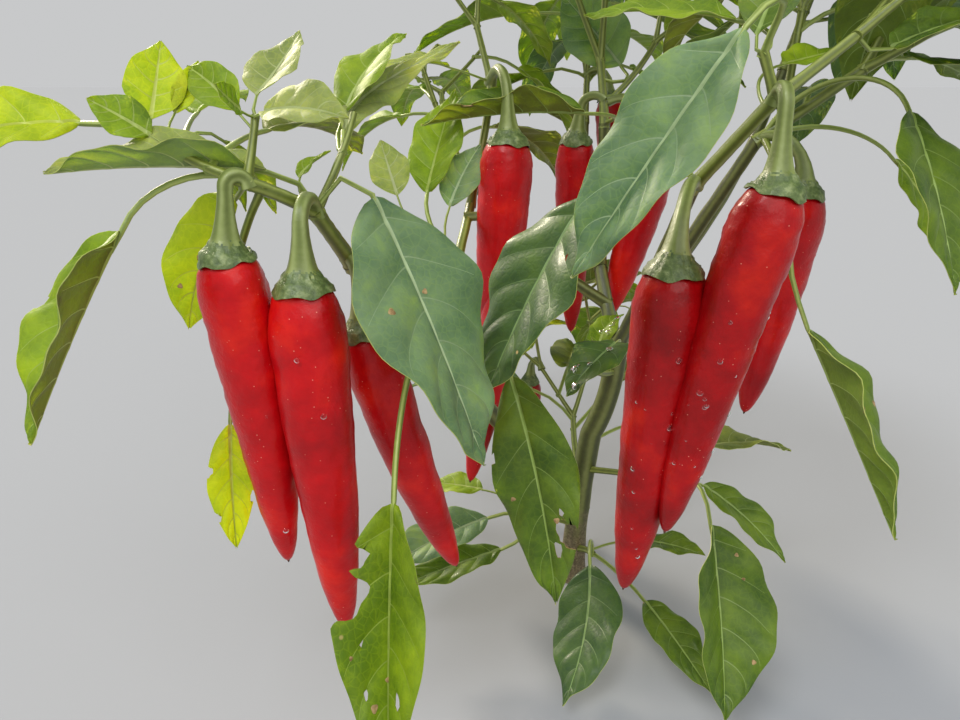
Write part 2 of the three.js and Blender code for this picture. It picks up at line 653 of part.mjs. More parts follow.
function makeFruit(sizes, bearer) {
  const plumb = -84;
  const { heading, rise, hook, drop } = sizes;
  const fruit = { ...sizes, kind: 'fruit' };
  fruit.stalk = new Axis(bearer.axis.at(sizes.at).point, [
    { length: hook, heading: [heading, heading], rise: [rise, plumb] },
    { length: drop, heading: [heading, heading], rise: [plumb, plumb] },
  ]);
  const [leanHeading, leanRise] = sizes.leans;
  const run = { length: sizes.body, heading: [leanHeading, leanHeading], rise: [leanRise, leanRise] };
  fruit.body = new Axis(fruit.stalk.at(1).point, [run]);
  fruit.sides = sizes.body > 90 ? 8 : 6;
  fruit.shares = sizes.body > 90 ? [0.04, 0.2, 0.45, 0.7, 0.9] : [0.06, 0.4, 0.8];
  fruit.axis = fruit.stalk;
  fruit.middle = fruit.body.at(0.5).point;
  fruit.balls = [
    ...ballsAlong(fruit.stalk, () => 3, 10),
    ...ballsAlong(fruit.body, (share) => (sizes.wide / 2) * fruitOutline(share), 10),
  ];
  return fruit;
}

// The same numbers for the same seed, on any machine.
function dice(seed) {
  const prime = 2147483647;
  let state = (seed * 7919 + 12345) % prime;
  const next = () => {
    state = (state * 48271) % prime;
    return state / prime;
  };
  next();
  next();
  next();
  return next;
}

function inSpace(point, space) {
  let sum = 0;
  point.toArray().forEach((value, index) => {
    sum += ((value - space.middle[index]) / space.reach[index]) ** 2;
  });
  return sum <= 1;
}

// An organ fits where its middle is in its mass's space and it is clear of all that is there.
function fits(organ, space, taken, bearer) {
  const start = organ.axis.at(0).point;
  if (!inSpace(organ.middle, space)) {
    return false;
  }
  for (const ball of organ.balls) {
    const free = ball.point.distanceTo(start) < ROOT_FREE;
    if (ball.point.z < GROUND_AIR) {
      return false;
    }
    for (const other of taken) {
      if (free || other === bearer || other === organ) {
        continue;
      }
      for (const rival of other.balls) {
        if (ball.point.distanceTo(rival.point) < ball.radius + rival.radius + ORGAN_AIR) {
          return false;
        }
      }
    }
  }
  return true;
}

function leafSizes(random, rule, from, side, size) {
  const first = from.heading + side * (40 + 60 * random());
  const second = first + side * (40 * random() - 15);
  const high = 50 - 50 * random();
  const middle = 18 - 52 * random();
  const blade = rule.blade * size * (0.78 + 0.44 * random());
  return {
    petiole: (22 + 22 * random()) * Math.sqrt(size),
    blade,
    wide: blade * (0.38 + 0.1 * random()),
    heading: [first, second, second + 30 * (random() - 0.5)],
    rise: [high, middle, middle - 20 - 44 * random()],
    roll: [50 * (random() - 0.5), 50 * (random() - 0.5)],
    fold: 10 + 22 * random(),
  };
}

function shootSizes(random, rule, from, side) {
  const spread = rule.turn ?? 34;
  const heading = from.heading + side * spread * (0.6 + 0.9 * random());
  const rise = THREE.MathUtils.clamp(from.rise + 50 * (random() - 0.55), 8, 84);
  return {
    length: rule.length * (0.8 + 0.4 * random()),
    heading: [heading, heading + 16 * (random() - 0.5)],
    rise: [rise, rise + 6],
  };
}

function hangingSizes(random) {
  const heading = 360 * random();
  const body = 74 + 46 * random();
  return { heading, rise: 50, hook: 18, drop: 12, body, wide: body * 0.2, leans: [heading, -84] };
}

// A node at the end of a shoot: a leaf to each side, perhaps a fruit, and two new shoots. The
// last level ends in a tuft of small leaves. Each organ draws from a seed of its own.
function growNode(mass, rule, bearer, level, seed, taken) {
  let slot = 0;
  const place = (make) => {
    slot += 1;
    for (let attempt = 0; attempt < TRIES; attempt += 1) {
      const organ = make(dice(seed * 100 + slot * 10 + attempt));
      if (fits(organ, mass.space, taken, bearer)) {
        taken.push(organ);
        mass.organs.push(organ);
        return organ;
      }
    }
    return null;
  };
  const placeLeaf = (side, at, size) => place((random) => (
    makeLeaf({ at, ...leafSizes(random, rule, bearer.axis.at(at), side, size) }, bearer)));
  const turned = seed % 2 === 0 ? 1 : -1;
  if (dice(seed)() < (rule.bears ?? FRUIT.share)) {
    place((random) => makeFruit({ at: 1, ...hangingSizes(random) }, bearer));
  }
  placeLeaf(turned, 0.45, 0.95);
  placeLeaf(1, 0.93, 1);
  placeLeaf(-1, 0.8, 1);
  if (level === 0) {
    placeLeaf(turned, 0.99, 0.6);
    return;
  }
  const thick = bearer.thick[1];
  [1, -1].forEach((side, index) => {
    const shoot = place((random) => makeTwig({
      at: 1, ...shootSizes(random, rule, bearer.axis.at(1), side),
      thick: [thick * 0.9, Math.max(1.8, thick * 0.74)],
    }, bearer, false));
    if (shoot) {
      growNode(mass, rule, shoot, level - 1, seed * 2 + index + 1, taken);
    }
  });
}

// The length of a solid's shortest edge, or 0 where an edge hasn't just two faces once corners
// that nearly meet are taken as one.
function soundness(solid) {
  const { vertProperties, triVerts } = solid.getMesh();
  const nearly = 2000;
  const places = [];
  for (let index = 0; index < vertProperties.length; index += 3) {
    places.push(new THREE.Vector3().fromArray(vertProperties, index));
  }
  const keys = places.map((place) => place.toArray().map((value) => Math.round(value * nearly)).join());
  const edges = new Map();
  let shortest = Infinity;
  for (let index = 0; index < triVerts.length; index += 3) {
    for (let corner = 0; corner < 3; corner += 1) {
      const [from, to] = [triVerts[index + corner], triVerts[index + ((corner + 1) % 3)]];
      const edge = [keys[from], keys[to]].sort().join(' ');
      edges.set(edge, (edges.get(edge) ?? 0) + 1);
      shortest = Math.min(shortest, places[from].distanceTo(places[to]));
    }
  }
  return [...edges.values()].every((faces) => faces === 2) ? shortest : 0;
}

// The largest body of a solid, with the tiny edges where its organs join taken out. A sealed
// hollow is a body of its own in this count, so it is filled.
function tidy(solid) {
  const bodies = CLEANED_EDGES.map((edge) => (
    solid.asOriginal().simplify(edge).decompose().reduce(
      (best, piece) => (piece.volume() > best.volume() ? piece : best))));
  const scores = bodies.map(soundness);
  return bodies[scores.indexOf(Math.max(...scores))];
}

// All limbs stand first, then the organs that the photograph shows, and then the grown ones.
const limbs = {};
const taken = [];
for (const [name, sizes] of Object.entries(LIMBS)) {
  const start = sizes.on ? limbs[sizes.on].axis.at(sizes.at).point : new THREE.Vector3();
  const limb = { ...sizes, name, kind: 'limb', axis: new Axis(start, sizes.runs) };
  limb.balls = ballsAlong(limb.axis, (share) => limbRadius(limb, share), 8);
  limbs[name] = limb;
  taken.push(limb);
}

const masses = [];
for (const [name, sizes] of Object.entries(MASSES)) {
  const stem = makeTwig(sizes.stem, limbs[sizes.stem.on], true);
  const mass = { ...sizes, name, organs: [stem], named: { stem } };
  for (const [twigName, twigSizes] of Object.entries(sizes.twigs)) {
    const twig = makeTwig(twigSizes, mass.named[twigSizes.on], false);
    mass.named[twigName] = twig;
    mass.organs.push(twig);
  }
  for (const leaf of sizes.leaves) {
    mass.organs.push(makeLeaf(leaf, mass.named[leaf.on]));
  }
  for (const fruit of sizes.fruits) {
    mass.organs.push(makeFruit(fruit, mass.named[fruit.on]));
  }
  taken.push(...mass.organs);
  masses.push(mass);
}
for (const mass of masses) {
  for (const rule of mass.grows) {
    growNode(mass, rule, mass.named[rule.on], rule.levels, rule.seed, taken);
  }
}

function organSolids(organ, extra) {
  if (organ.kind === 'leaf') {
    return [leafSolid(organ, extra)];
  }
  if (organ.kind === 'fruit') {
    return fruitSolids(organ, extra);
  }
  return [twigSolid(organ, extra)];
}

function massSolid(mass, extra) {
  return wasm.Manifold.union(mass.organs.flatMap((organ) => organSolids(organ, extra)));
}

const plant = new THREE.Group();

function addNode(name, solid, color) {
  const mesh = solid.getMesh();
  const geometry = new THREE.BufferGeometry();
  geometry.setAttribute('position', new THREE.BufferAttribute(mesh.vertProperties, 3));
  geometry.setIndex(new THREE.BufferAttribute(mesh.triVerts, 1));
  const material = new THREE.MeshStandardMaterial({ color, roughness: 0.6, metalness: 0 });
  const node = new THREE.Mesh(geometry, material);
  node.name = name;
  plant.add(node);
}

// Each part is cut clear of those before it, by their own shapes grown by the gap.
const standing = [];
for (const limb of Object.values(limbs)) {
  let solid = limbSolid(limb, 0);
  for (const earlier of standing) {
    solid = solid.subtract(earlier);
  }
  addNode(limb.name, tidy(solid), BARK);
  standing.push(limbSolid(limb, GAP));
}
for (const mass of masses) {
  let solid = massSolid(mass, 0);
  for (const earlier of standing) {
    solid = solid.subtract(earlier);
  }
  addNode(mass.name, tidy(solid), FOLIAGE);
  standing.push(massSolid(mass, GAP));
}

export default plant;
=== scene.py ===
"""The looks of a chilli pepper plant in full fruit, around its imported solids.

Sizes are real ones in millimetres, and every mesh is made in metres at the end. A heading of
0 points along +X and one of 90 along +Y, and a rise is the angle above level, in degrees.
"""

import math

import bpy
import numpy as np
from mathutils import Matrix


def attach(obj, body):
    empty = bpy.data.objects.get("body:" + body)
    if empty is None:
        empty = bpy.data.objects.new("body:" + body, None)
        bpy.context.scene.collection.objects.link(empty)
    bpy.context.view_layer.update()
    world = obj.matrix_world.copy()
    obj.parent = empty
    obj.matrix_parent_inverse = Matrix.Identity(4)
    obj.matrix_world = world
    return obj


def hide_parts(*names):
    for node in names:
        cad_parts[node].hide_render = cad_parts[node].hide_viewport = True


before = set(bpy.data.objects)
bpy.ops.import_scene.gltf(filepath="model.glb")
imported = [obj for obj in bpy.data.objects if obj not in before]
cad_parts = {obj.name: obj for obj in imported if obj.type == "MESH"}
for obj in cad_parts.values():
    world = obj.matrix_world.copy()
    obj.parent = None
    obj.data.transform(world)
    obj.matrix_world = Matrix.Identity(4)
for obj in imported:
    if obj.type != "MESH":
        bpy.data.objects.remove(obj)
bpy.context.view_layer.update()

MM = 0.001

# Air that the growing rule keeps: at a mass's root, over the ground and between organs. Near
# its own root, within ROOT_FREE, an organ may touch others. TRIES is how often it tries.
GAP = 0.3
GROUND_AIR = 5
ORGAN_AIR = 1.5
ROOT_FREE = 14
TRIES = 7

# The powers of a blade's outline at its base and its point, the radius of the balls of air
# along a blade, the rise at which fruit stalks end, and the share of nodes that bear a fruit.
LEAF_BASE, LEAF_POINT = 0.85, 1.1
LEAF_BODY = 2.4
PLUMB = -84
FRUIT_SHARE = 0.35

# The main stem's root flare: how much wider it is at the ground, and how fast that fades.
FLARE = (2.6, 9)

# The woody limbs: what each starts on and at which share of that one's length, its diameter
# at both ends, and its runs. A run has a length, and its headings and rises at both ends.
LIMBS = {
    "main_stem": (None, 0, (12.6, 11), [(94, (0, 0), (90, 83)), (52, (0, 0), (64, 92))]),
    "left_bough": ("main_stem", 0.32, (10, 6), [(217, (-142, -128), (51, 47))]),
    "right_front_bough": ("main_stem", 0.99, (7, 5.2), [(127, (-86, -86), (44, 50))]),
    "right_back_bough": ("main_stem", 0.99, (7.6, 5.2), [(120, (-39, -39), (61, 61))]),
    "centre_bough": ("main_stem", 0.99, (7.6, 5.2), [(49, (98, 98), (38, 50)), (73, (101, 101), (85, 85))]),
    "back_bough": ("centre_bough", 0.4, (6.2, 4.6), [(105, (98, 84), (28, 60))]),
    "back_left_bough": ("centre_bough", 0.22, (6.2, 4.6), [(104, (172, 136), (30, 44))]),
    "back_right_bough": ("right_back_bough", 0.34, (6, 4.6), [(125, (24, 46), (44, 60))]),
}

# The foliage masses. Each grows from one stem: its first twig starts on a limb, and every
# other organ starts on a twig. A leaf has a heading and a rise at its stalk's start, at the
# blade's base and at its tip, and the looks of its upper side and, where they differ, of its
# underside. A fruit hangs by a stalk that hooks over and drops, and leans to a heading and a
# rise. The rule grows on from the twigs in grows, inside the space, an ellipsoid.
TWIG = ("on", "at", "length", "heading", "rise", "thick")
LEAF = ("on", "at", "petiole", "blade", "wide", "heading", "rise", "roll", "fold", "looks")
FRUIT = ("on", "at", "heading", "rise", "hook", "drop", "body", "wide", "leans")
GROW = ("on", "levels", "length", "blade", "seed", "bears", "turn")
MASSES = {
    "left_front": dict(
        stem=("left_bough", 1, 28, (-114, -114), (48, 48), (5.8, 5)),
        twigs={
            "fork": ("stem", 1, 24, (-133, -153), (32, 22), (4.6, 4)),
            "outer": ("fork", 1, 26, (186, 146), (21, 21), (3.6, 2.6)),
            "rising": ("stem", 1, 37, (45, 80), (54, 48), (3, 2.2)),
            "upper": ("fork", 1, 22, (86, 86), (50, 60), (3, 2.2)),
            "drooping": ("fork", 0.8, 60, (150, 150), (-50, -88), (2.6, 2)),
        },
        leaves=[
            ("stem", 1, 28, 92, 50, (25, -41, -38), (89, -54, -67), (15, -18), 9, "dusty"),
            ("fork", 0.95, 48, 67, 36, (-215, -123, -107), (20, -52, -53), (23, 24), 38, "fresh olive"),
            ("stem", 0.9, 23, 62, 26, (-173, -162, -162), (84, 8, -6), (-5, -5), 50, "pale dusty"),
            ("outer", 0.9, 36, 66, 27, (145, 178, 188), (24, 2, -20), (-40, -45), 15, "lit"),
            ("fork", 1, 24, 55, 31, (90, 150, 190), (10, -44, -80), (-60, -95), 10, "lit"),
            ("outer", 1, 16, 26, 19, (180, 85, 75), (4, 58, 68), (20, 36), 14, "lit"),
            ("outer", 0.8, 12, 20, 14, (150, 180, 190), (20, 36, 28), (-50, -60), 18, "fresh"),
            ("outer", 1, 16, 20, 9, (137, 64, 64), (30, 46, 56), (40, 50), 30, "lit"),
            ("upper", 0.8, 11, 24, 15, (125, 150, 150), (20, 43, 23), (-40, -50), 20, "fresh"),
            ("upper", 1, 9, 31, 23, (130, 70, 58), (60, 30, 49), (0, -6), 20, "pale"),
            ("upper", 1, 9, 33, 19, (-80, -36, -24), (10, 12, -16), (35, 40), 24, "pale"),
            ("upper", 1, 6, 14, 10, (-120, -110, -105), (10, 30, 36), (-60, -80), 20, "fresh"),
            ("rising", 0.62, 8, 71, 16, (88, 95, 5), (79, 24, 24), (27, 27), 3, "pale lit"),
            ("rising", 0.6, 21, 44, 24, (125, 60, 50), (10, 56, 20), (0, -8), 18, "fresh"),
            ("stem", 1, 15, 15, 9, (181, 79, -22), (46, 37, 28), (0, 0), 25, "fresh"),
            ("drooping", 1, 28, 48, 17, (-210, -100, -90), (-80, -76, -84), (-20, -26), 16, "lit"),
        ],
        fruits=[
            ("fork", 1, -149, 75, 9, 23, 110, 22, (17, -86)),
            ("stem", 1, -96, 70, 22, 20, 123, 24, (-46, -86)),
            ("stem", 0.15, -53, 3, 9, 22, 109, 21, (17, -73)),
        ],
        space=((-150, -60, 230), (60, 50, 50)),
        grows=[("outer", 0, 30, 56, 101)],
    ),
    "left_crown": dict(
        stem=("left_bough", 0.72, 89, (79, 79), (34, 34), (5, 4.2)),
        twigs={
            "middle": ("stem", 1, 60, (40, 84), (75, 60), (4.2, 3.4)),
            "top": ("middle", 1, 31, (114, 114), (57, 57), (3.4, 2.8)),
        },
        leaves=[
            ("stem", 0.08, 104, 82, 41, (-99, -94, -84), (34, -64, -46), (13, 3), 47, "fresh"),
            ("stem", 0.05, 57, 94, 32, (-52, -48, -46), (66, -65, -81), (50, 58), 12, "green olive"),
            ("stem", 0.55, 39, 59, 29, (183, 79, 62), (55, 44, 55), (-6, 1), 23, "fresh"),
            ("stem", 0.6, 28, 34, 21, (154, 47, 39), (35, 62, 45), (26, 23), 17, "dusty"),
            ("stem", 0.5, 44, 28, 19, (190, 122, 122), (40, 56, 56), (-20, -27), 14, "pale"),
            ("middle", 1, 22, 34, 14, (-144, -173, -173), (18, 17, -23), (-10, -20), 30, "pale lit"),
        ],
        fruits=[
            ("middle", 1, -75, 50, 37, 19, 119, 25, (-147, -87)),
            ("stem", 0.9, -7, 15, 29, 7, 111, 21, (-128, -73)),
        ],
        space=((-46, 40, 350), (66, 70, 84)),
        grows=[("top", 2, 44, 70, 202, 0)],
    ),
    "centre_crown": dict(
        stem=("centre_bough", 1, 34, (100, 100), (76, 62), (4.8, 4)),
        twigs={
            "low": ("stem", 0.3, 40, (0, 20), (40, 60), (3.4, 2.8)),
        },
        leaves=[
            ("stem", 0.7, 28, 50, 36, (-60, 151, 151), (-20, 48, 43), (-50, -60), 10, "dusty"),
            ("stem", 0.05, 40, 79, 32, (-58, -171, -171), (13, 4, -12), (-4, -6), 50, "green olive"),
        ],
        fruits=[
            ("stem", 0.4, 155, 40, 16, 18, 112, 22, (75, -82)),
            ("low", 0.1, -10, 20, 34, 16, 84, 23, (-170, -76)),
        ],
        space=((15, 40, 370), (80, 80, 90)),
        grows=[("stem", 2, 48, 78, 303, 0), ("low", 1, 44, 74, 404)],
    ),
    "right_front": dict(
        stem=("right_front_bough", 1, 43, (-62, -62), (44, 44), (5, 4.4)),
        twigs={
            "outer": ("stem", 1, 32, (16, 16), (35, 35), (4, 3.2)),
            "upper": ("stem", 1, 14, (172, 172), (68, 68), (3.4, 3)),
        },
        leaves=[
            ("stem", 0.05, 49, 76, 46, (-167, -157, -153), (47, -54, -67), (-4, -5), 14, "deep fresh"),
            ("upper", 1, 42, 81, 35, (-67, -166, -177), (73, -53, -60), (-37, -32), 23, "dusty"),
            ("upper", 1, 26, 52, 24, (36, 156, 156), (36, 13, -7), (-15, -21), 15, "fresh"),
            ("upper", 1, 11, 34, 20, (119, 53, 53), (10, 50, 50), (5, 13), 20, "green"),
            ("stem", 0.9, 39, 30, 16, (97, 32, 32), (31, 10, 10), (15, 24), 20, "fresh"),
            ("outer", 1, 16, 42, 22, (26, 14, 14), (-50, 24, 7), (10, 19), 20, "green fresh"),
        ],
        fruits=[
            ("stem", 0.03, -113, 21, 47, 4, 123, 25, (-160, -86)),
            ("stem", 1, -94, 64, 15, 26, 121, 23, (-175, -79)),
        ],
        space=((88, -90, 335), (78, 66, 80)),
        grows=[("outer", 2, 44, 76, 505)],
    ),
    "right_crown": dict(
        stem=("right_back_bough", 1, 46, (-8, -8), (37, 37), (5, 4.2)),
        twigs={
            "upper": ("stem", 0.25, 48, (70, 60), (62, 70), (3.8, 3)),
            "hanging": ("stem", 0.05, 60, (-92, -92), (-20, -58), (3, 2.4)),
        },
        leaves=[
            ("stem", 0.05, 72, 68, 38, (-23, -83, -75), (69, -46, -68), (-14, -23), 15, "green fresh"),
            ("stem", 0.05, 56, 49, 24, (-24, 2, -36), (25, -42, -66), (39, 33), 9, "fresh lit"),
            ("hanging", 1, 31, 82, 42, (-22, -58, -64), (-81, -54, -53), (-26, -36), 34, "green"),
        ],
        fruits=[
            ("stem", 0.02, -58, 27, 31, 9, 94, 22, (-171, -83)),
        ],
        space=((105, -10, 345), (82, 78, 92)),
        grows=[("stem", 2, 46, 76, 614, 0), ("upper", 2, 44, 74, 713, 0)],
    ),
    "inner_front": dict(
        stem=("main_stem", 0.9, 48, (-115, -115), (12, 32), (3.4, 2.8)),
        leaves=[
            ("stem", 0.25, 46, 40, 26, (-67, -116, -166), (75, 6, -62), (0, 0), 18, "deep"),
            ("stem", 0.3, 15, 25, 16, (147, 80, 12), (62, 41, 20), (0, 0), 20, "fresh"),
        ],
    ),
    "low_right": dict(
        stem=("main_stem", 0.49, 64, (-46, -46), (17, 17), (3.6, 2.8)),
        leaves=[
            ("stem", 1, 37, 81, 52, (-85, -83, -101), (46, -58, -45), (-31, -25), 32, "green fresh"),
            ("stem", 1, 9, 50, 22, (-52, -38, -38), (29, -16, -46), (5, 8), 20, "green"),
        ],
        space=((66, 45, 100), (55, 55, 50)),
        grows=[("stem", 1, 40, 62, 808, FRUIT_SHARE, 50)],
    ),
    "low_front": dict(
        stem=("main_stem", 0.13, 24, (-60, -80), (35, 20), (4, 3.2)),
        leaves=[
            ("stem", 1, 37, 70, 35, (-114, -94, -121), (84, -32, -26), (20, 28), 4, "deep"),
            ("stem", 0.9, 46, 54, 22, (-58, -68, -68), (6, -4, -17), (5, 7), 20, "green"),
            ("stem", 0.8, 32, 36, 18, (0, -42, -42), (30, 22, 2), (5, 8), 20, "green"),
        ],
    ),
    "low_left": dict(
        stem=("main_stem", 0.24, 34, (-160, -150), (30, 24), (3.6, 2.8)),
        leaves=[
            ("stem", 1, 26, 60, 30, (-154, -154, -154), (26, -3, -23), (-8, -11), 18, "dusty"),
            ("stem", 0.7, 39, 36, 20, (150, 154, 154), (20, -2, -12), (-8, -11), 18, "fresh"),
            ("stem", 0.8, 30, 60, 24, (-120, -158, -158), (-30, -5, -10), (-8, -11), 20, "green"),
        ],
    ),
    "low_back": dict(
        stem=("main_stem", 0.44, 42, (100, 85), (25, 40), (4, 3)),
        space=((5, 85, 105), (80, 70, 60)),
        grows=[("stem", 2, 42, 70, 909)],
    ),
    "back_left": dict(
        stem=("back_left_bough", 1, 26, (136, 126), (44, 50), (4.4, 3.6)),
        space=((-58, 108, 238), (78, 78, 78)),
        grows=[("stem", 3, 40, 72, 1020, 0)],
    ),
    "back": dict(
        stem=("back_bough", 1, 30, (84, 80), (60, 64), (4.4, 3.6)),
        space=((12, 145, 305), (88, 80, 105)),
        grows=[("stem", 3, 44, 74, 1147, 0.4)],
    ),
    "back_right": dict(
        stem=("back_right_bough", 1, 30, (46, 40), (60, 64), (4.4, 3.6)),
        space=((128, 92, 290), (88, 86, 112)),
        grows=[("stem", 3, 44, 74, 1221, 0)],
    ),
}

# The eaten patches and dry spots of leaves that the photograph shows, by their number in the
# mass. A place is a share of the half width, with the leaf's left positive as it hangs, and a
# share of the blade's length. The last one or two numbers are half sizes in millimetres.
MARKS = {
    ("left_front", 0): dict(spots=[(0.62, 0.4, 1.2), (0.58, 0.42, 0.9), (-0.1, 0.38, 0.9)]),
    ("left_front", 1): dict(eaten=[(1.0, 0.4, 2.6, 2.2)], spots=[(-0.75, 0.42, 1.3)]),
    ("left_front", 4): dict(spots=[(0.1, 0.5, 1.0), (-0.45, 0.62, 0.9), (0.4, 0.72, 0.9)]),
    ("left_front", 15): dict(eaten=[(1.0, 0.35, 2.0, 2.2), (-1.0, 0.58, 1.6, 2.4), (1.0, 0.72, 1.5, 2.0)]),
    ("left_crown", 0): dict(
        eaten=[(1.15, 0.345, 13.0, 10.5), (1.1, 0.21, 8.6, 5.2), (0.5, 0.515, 0.6, 1.8),
               (0.55, 0.7, 0.9, 1.6), (-0.36, 0.73, 1.2, 2.4), (-1.0, 0.27, 1.2, 2.2)],
        spots=[(0.4, 0.745, 1.3), (0.03, 0.65, 0.8), (0.7, 0.56, 0.7)],
    ),
    ("left_crown", 1): dict(
        eaten=[(-0.62, 0.66, 4.2, 4.4), (-0.95, 0.7, 5.0, 3.4), (-0.35, 0.74, 1.6, 3.2),
               (1.02, 0.3, 1.6, 4.0), (-0.5, 0.58, 1.0, 1.6)],
        spots=[(-0.3, 0.6, 1.1), (0.6, 0.5, 1.0)],
    ),
    ("centre_crown", 1): dict(eaten=[(-1.05, 0.73, 3.6, 3.0)], spots=[(-0.75, 0.73, 3.4)]),
    ("right_front", 0): dict(
        eaten=[(-1.0, 0.12, 2.0, 3.0), (-1.05, 0.22, 3.0, 3.4), (-0.55, 0.3, 0.8, 1.6)],
    ),
    ("right_crown", 2): dict(spots=[(-0.9, 0.42, 1.3), (0.9, 0.42, 1.3)]),
    ("low_right", 0): dict(spots=[(-0.45, 0.18, 0.9), (-0.5, 0.3, 0.8), (-0.6, 0.7, 1.0)]),
}


def toward(heading, rise):
    """The direction of a heading and a rise, for one value or for arrays of them."""
    heading, rise = np.radians(heading), np.radians(rise)
    return np.stack([np.cos(rise) * np.cos(heading), np.cos(rise) * np.sin(heading),
                     np.sin(rise) + 0 * heading], axis=-1)


def blend(start, end, share):
    return start + (end - start) * share


def straight(length, heading, rise):
    """A run that doesn't bend."""
    return length, (heading, heading), (rise, rise)


class Axis:
    """The line that an organ follows: runs that each bend evenly."""

    STEPS = 24

    def __init__(self, start, runs):
        points, gone = [np.asarray(start, float)], [0.0]
        headings, rises = [runs[0][1][0]], [runs[0][2][0]]
        for length, heading, rise in runs:
            step = length / self.STEPS
            for index in range(self.STEPS):
                middle, end = (index + 0.5) / self.STEPS, (index + 1) / self.STEPS
                points.append(points[-1] + toward(blend(*heading, middle), blend(*rise, middle)) * step)
                headings.append(blend(*heading, end))
                rises.append(blend(*rise, end))
                gone.append(gone[-1] + step)
        self.points, self.headings = np.array(points), np.array(headings, float)
        self.rises, self.gone = np.array(rises, float), np.array(gone)
        self.length = sum(run[0] for run in runs)

    def frames(self, shares, rolls=0.0):
        """The point, along, side and up directions at shares of the length."""
        gone = np.clip(shares, 0, 1) * self.length
        after = np.clip(np.searchsorted(self.gone, gone, side="left"), 1, len(self.gone) - 1)
        before = after - 1
        part = (gone - self.gone[before]) / np.maximum(self.gone[after] - self.gone[before], 1e-9)
        heading = blend(self.headings[before], self.headings[after], part)
        rise = blend(self.rises[before], self.rises[after], part)
        point = self.points[before] + (self.points[after] - self.points[before]) * part[..., None]
        along = toward(heading, rise)
        turn = np.radians(heading)
        level = np.stack([np.sin(turn), -np.cos(turn), 0 * turn], axis=-1)
        above = np.cross(level, along)
        rolls = np.radians(rolls)
        cos = np.broadcast_to(np.cos(rolls), turn.shape)[..., None]
        sin = np.broadcast_to(np.sin(rolls), turn.shape)[..., None]
        return dict(point=point, along=along, side=level * cos - above * sin,
                    up=above * cos + level * sin, heading=heading, rise=rise)

    def at(self, share):
        """The same for one share."""
        return {key: value[0] for key, value in self.frames(np.array([float(share)])).items()}


def leaf_outline(share):
    """Half the width of a blade at a share of its length, as a share of the widest."""
    widest = LEAF_BASE / (LEAF_BASE + LEAF_POINT)
    most = widest ** LEAF_BASE * (1 - widest) ** LEAF_POINT
    share = np.clip(share, 0, 1)
    return share ** LEAF_BASE * (1 - share) ** LEAF_POINT / most


def fruit_outline(share):
    """The radius of a fruit's body at a share of its length, as a share of the widest."""
    early = np.maximum(0, 1 - share / 0.13)
    return np.sqrt(np.maximum(0, 1 - np.clip(share, 0, 1) ** 1.9)) * np.sqrt(1 - 0.62 * early ** 2)


def limb_radius(limb, share):
    out, over = limb["flare"]
    return blend(*limb["thick"], share) / 2 + out * np.exp(-share * limb["axis"].length / over)


def balls_along(axis, radius_at, spacing):
    """Balls of air that an organ takes up: places and radii along its axis."""
    count = max(1, math.floor(axis.length / spacing + 0.5))
    shares = np.arange(count + 1) / count
    return axis.frames(shares)["point"], np.broadcast_to(radius_at(shares), shares.shape).astype(float)


def blade_frames(leaf, shares):
    """The frames along a leaf's blade, at shares of the blade."""
    return leaf["axis"].frames(blend(leaf["start"], 1, shares), blend(*leaf["roll"], shares))


def leaf_balls(leaf):
    points = [leaf["axis"].frames(np.array([0.35, 0.7]) * leaf["start"])["point"]]
    radii = [1.0, 1.0]
    shares = np.array([0.02, 0.2, 0.4, 0.6, 0.8, 1])
    place = blade_frames(leaf, shares)
    half = leaf["wide"] / 2 * leaf_outline(shares) * 0.85
    across = half * math.cos(math.radians(leaf["fold"]))
    above = half * math.sin(math.radians(leaf["fold"]))
    for hand in (-1, 0, 1):
        points.append(place["point"] + place["side"] * (hand * across)[:, None]
                      + place["up"] * (abs(hand) * above)[:, None])
        radii += [LEAF_BODY] * len(shares)
    return np.concatenate(points), np.array(radii)


def make_twig(sizes, bearer):
    twig = dict(sizes, kind="twig")
    start = bearer["axis"].at(sizes["at"])["point"]
    if bearer["kind"] == "limb" and sizes["at"] == 1:
        start = start + toward(sizes["heading"][0], sizes["rise"][0]) * GAP
    twig["axis"] = Axis(start, [(sizes["length"], sizes["heading"], sizes["rise"])])
    twig["middle"] = twig["axis"].points[-1]
    twig["balls"] = balls_along(twig["axis"], lambda share: sizes["thick"][0] / 2, 10)
    return twig


def make_leaf(sizes, bearer):
    first, second, third = sizes["heading"]
    low, middle, high = sizes["rise"]
    leaf = dict(sizes, kind="leaf", start=sizes["petiole"] / (sizes["petiole"] + sizes["blade"]))
    leaf["axis"] = Axis(bearer["axis"].at(sizes["at"])["point"], [
        (sizes["petiole"], (first, second), (low, middle)),
        (sizes["blade"], (second, third), (middle, high)),
    ])
    leaf["middle"] = leaf["axis"].at(0.7)["point"]
    leaf["balls"] = leaf_balls(leaf)
    return leaf


def make_fruit(sizes, bearer):
    heading = sizes["heading"]
    fruit = dict(sizes, kind="fruit")
    fruit["axis"] = Axis(bearer["axis"].at(sizes["at"])["point"], [
        (sizes["hook"], (heading, heading), (sizes["rise"], PLUMB)),
        straight(sizes["drop"], heading, PLUMB),
    ])
    body_axis = Axis(fruit["axis"].points[-1], [straight(sizes["body"], *sizes["leans"])])
    fruit["middle"] = body_axis.at(0.5)["point"]
    stalk = balls_along(fruit["axis"], lambda share: 3.0, 10)
    body = balls_along(body_axis, lambda share: sizes["wide"] / 2 * fruit_outline(share), 10)
    fruit["balls"] = np.concatenate([stalk[0], body[0]]), np.concatenate([stalk[1], body[1]])
    return fruit


def dice(seed):
    """The same numbers for the same seed, on any machine."""
    prime = 2147483647
    state = (seed * 7919 + 12345) % prime

    def draw():
        nonlocal state
        state = state * 48271 % prime
        return state / prime

    for _ in range(3):
        draw()
    return draw


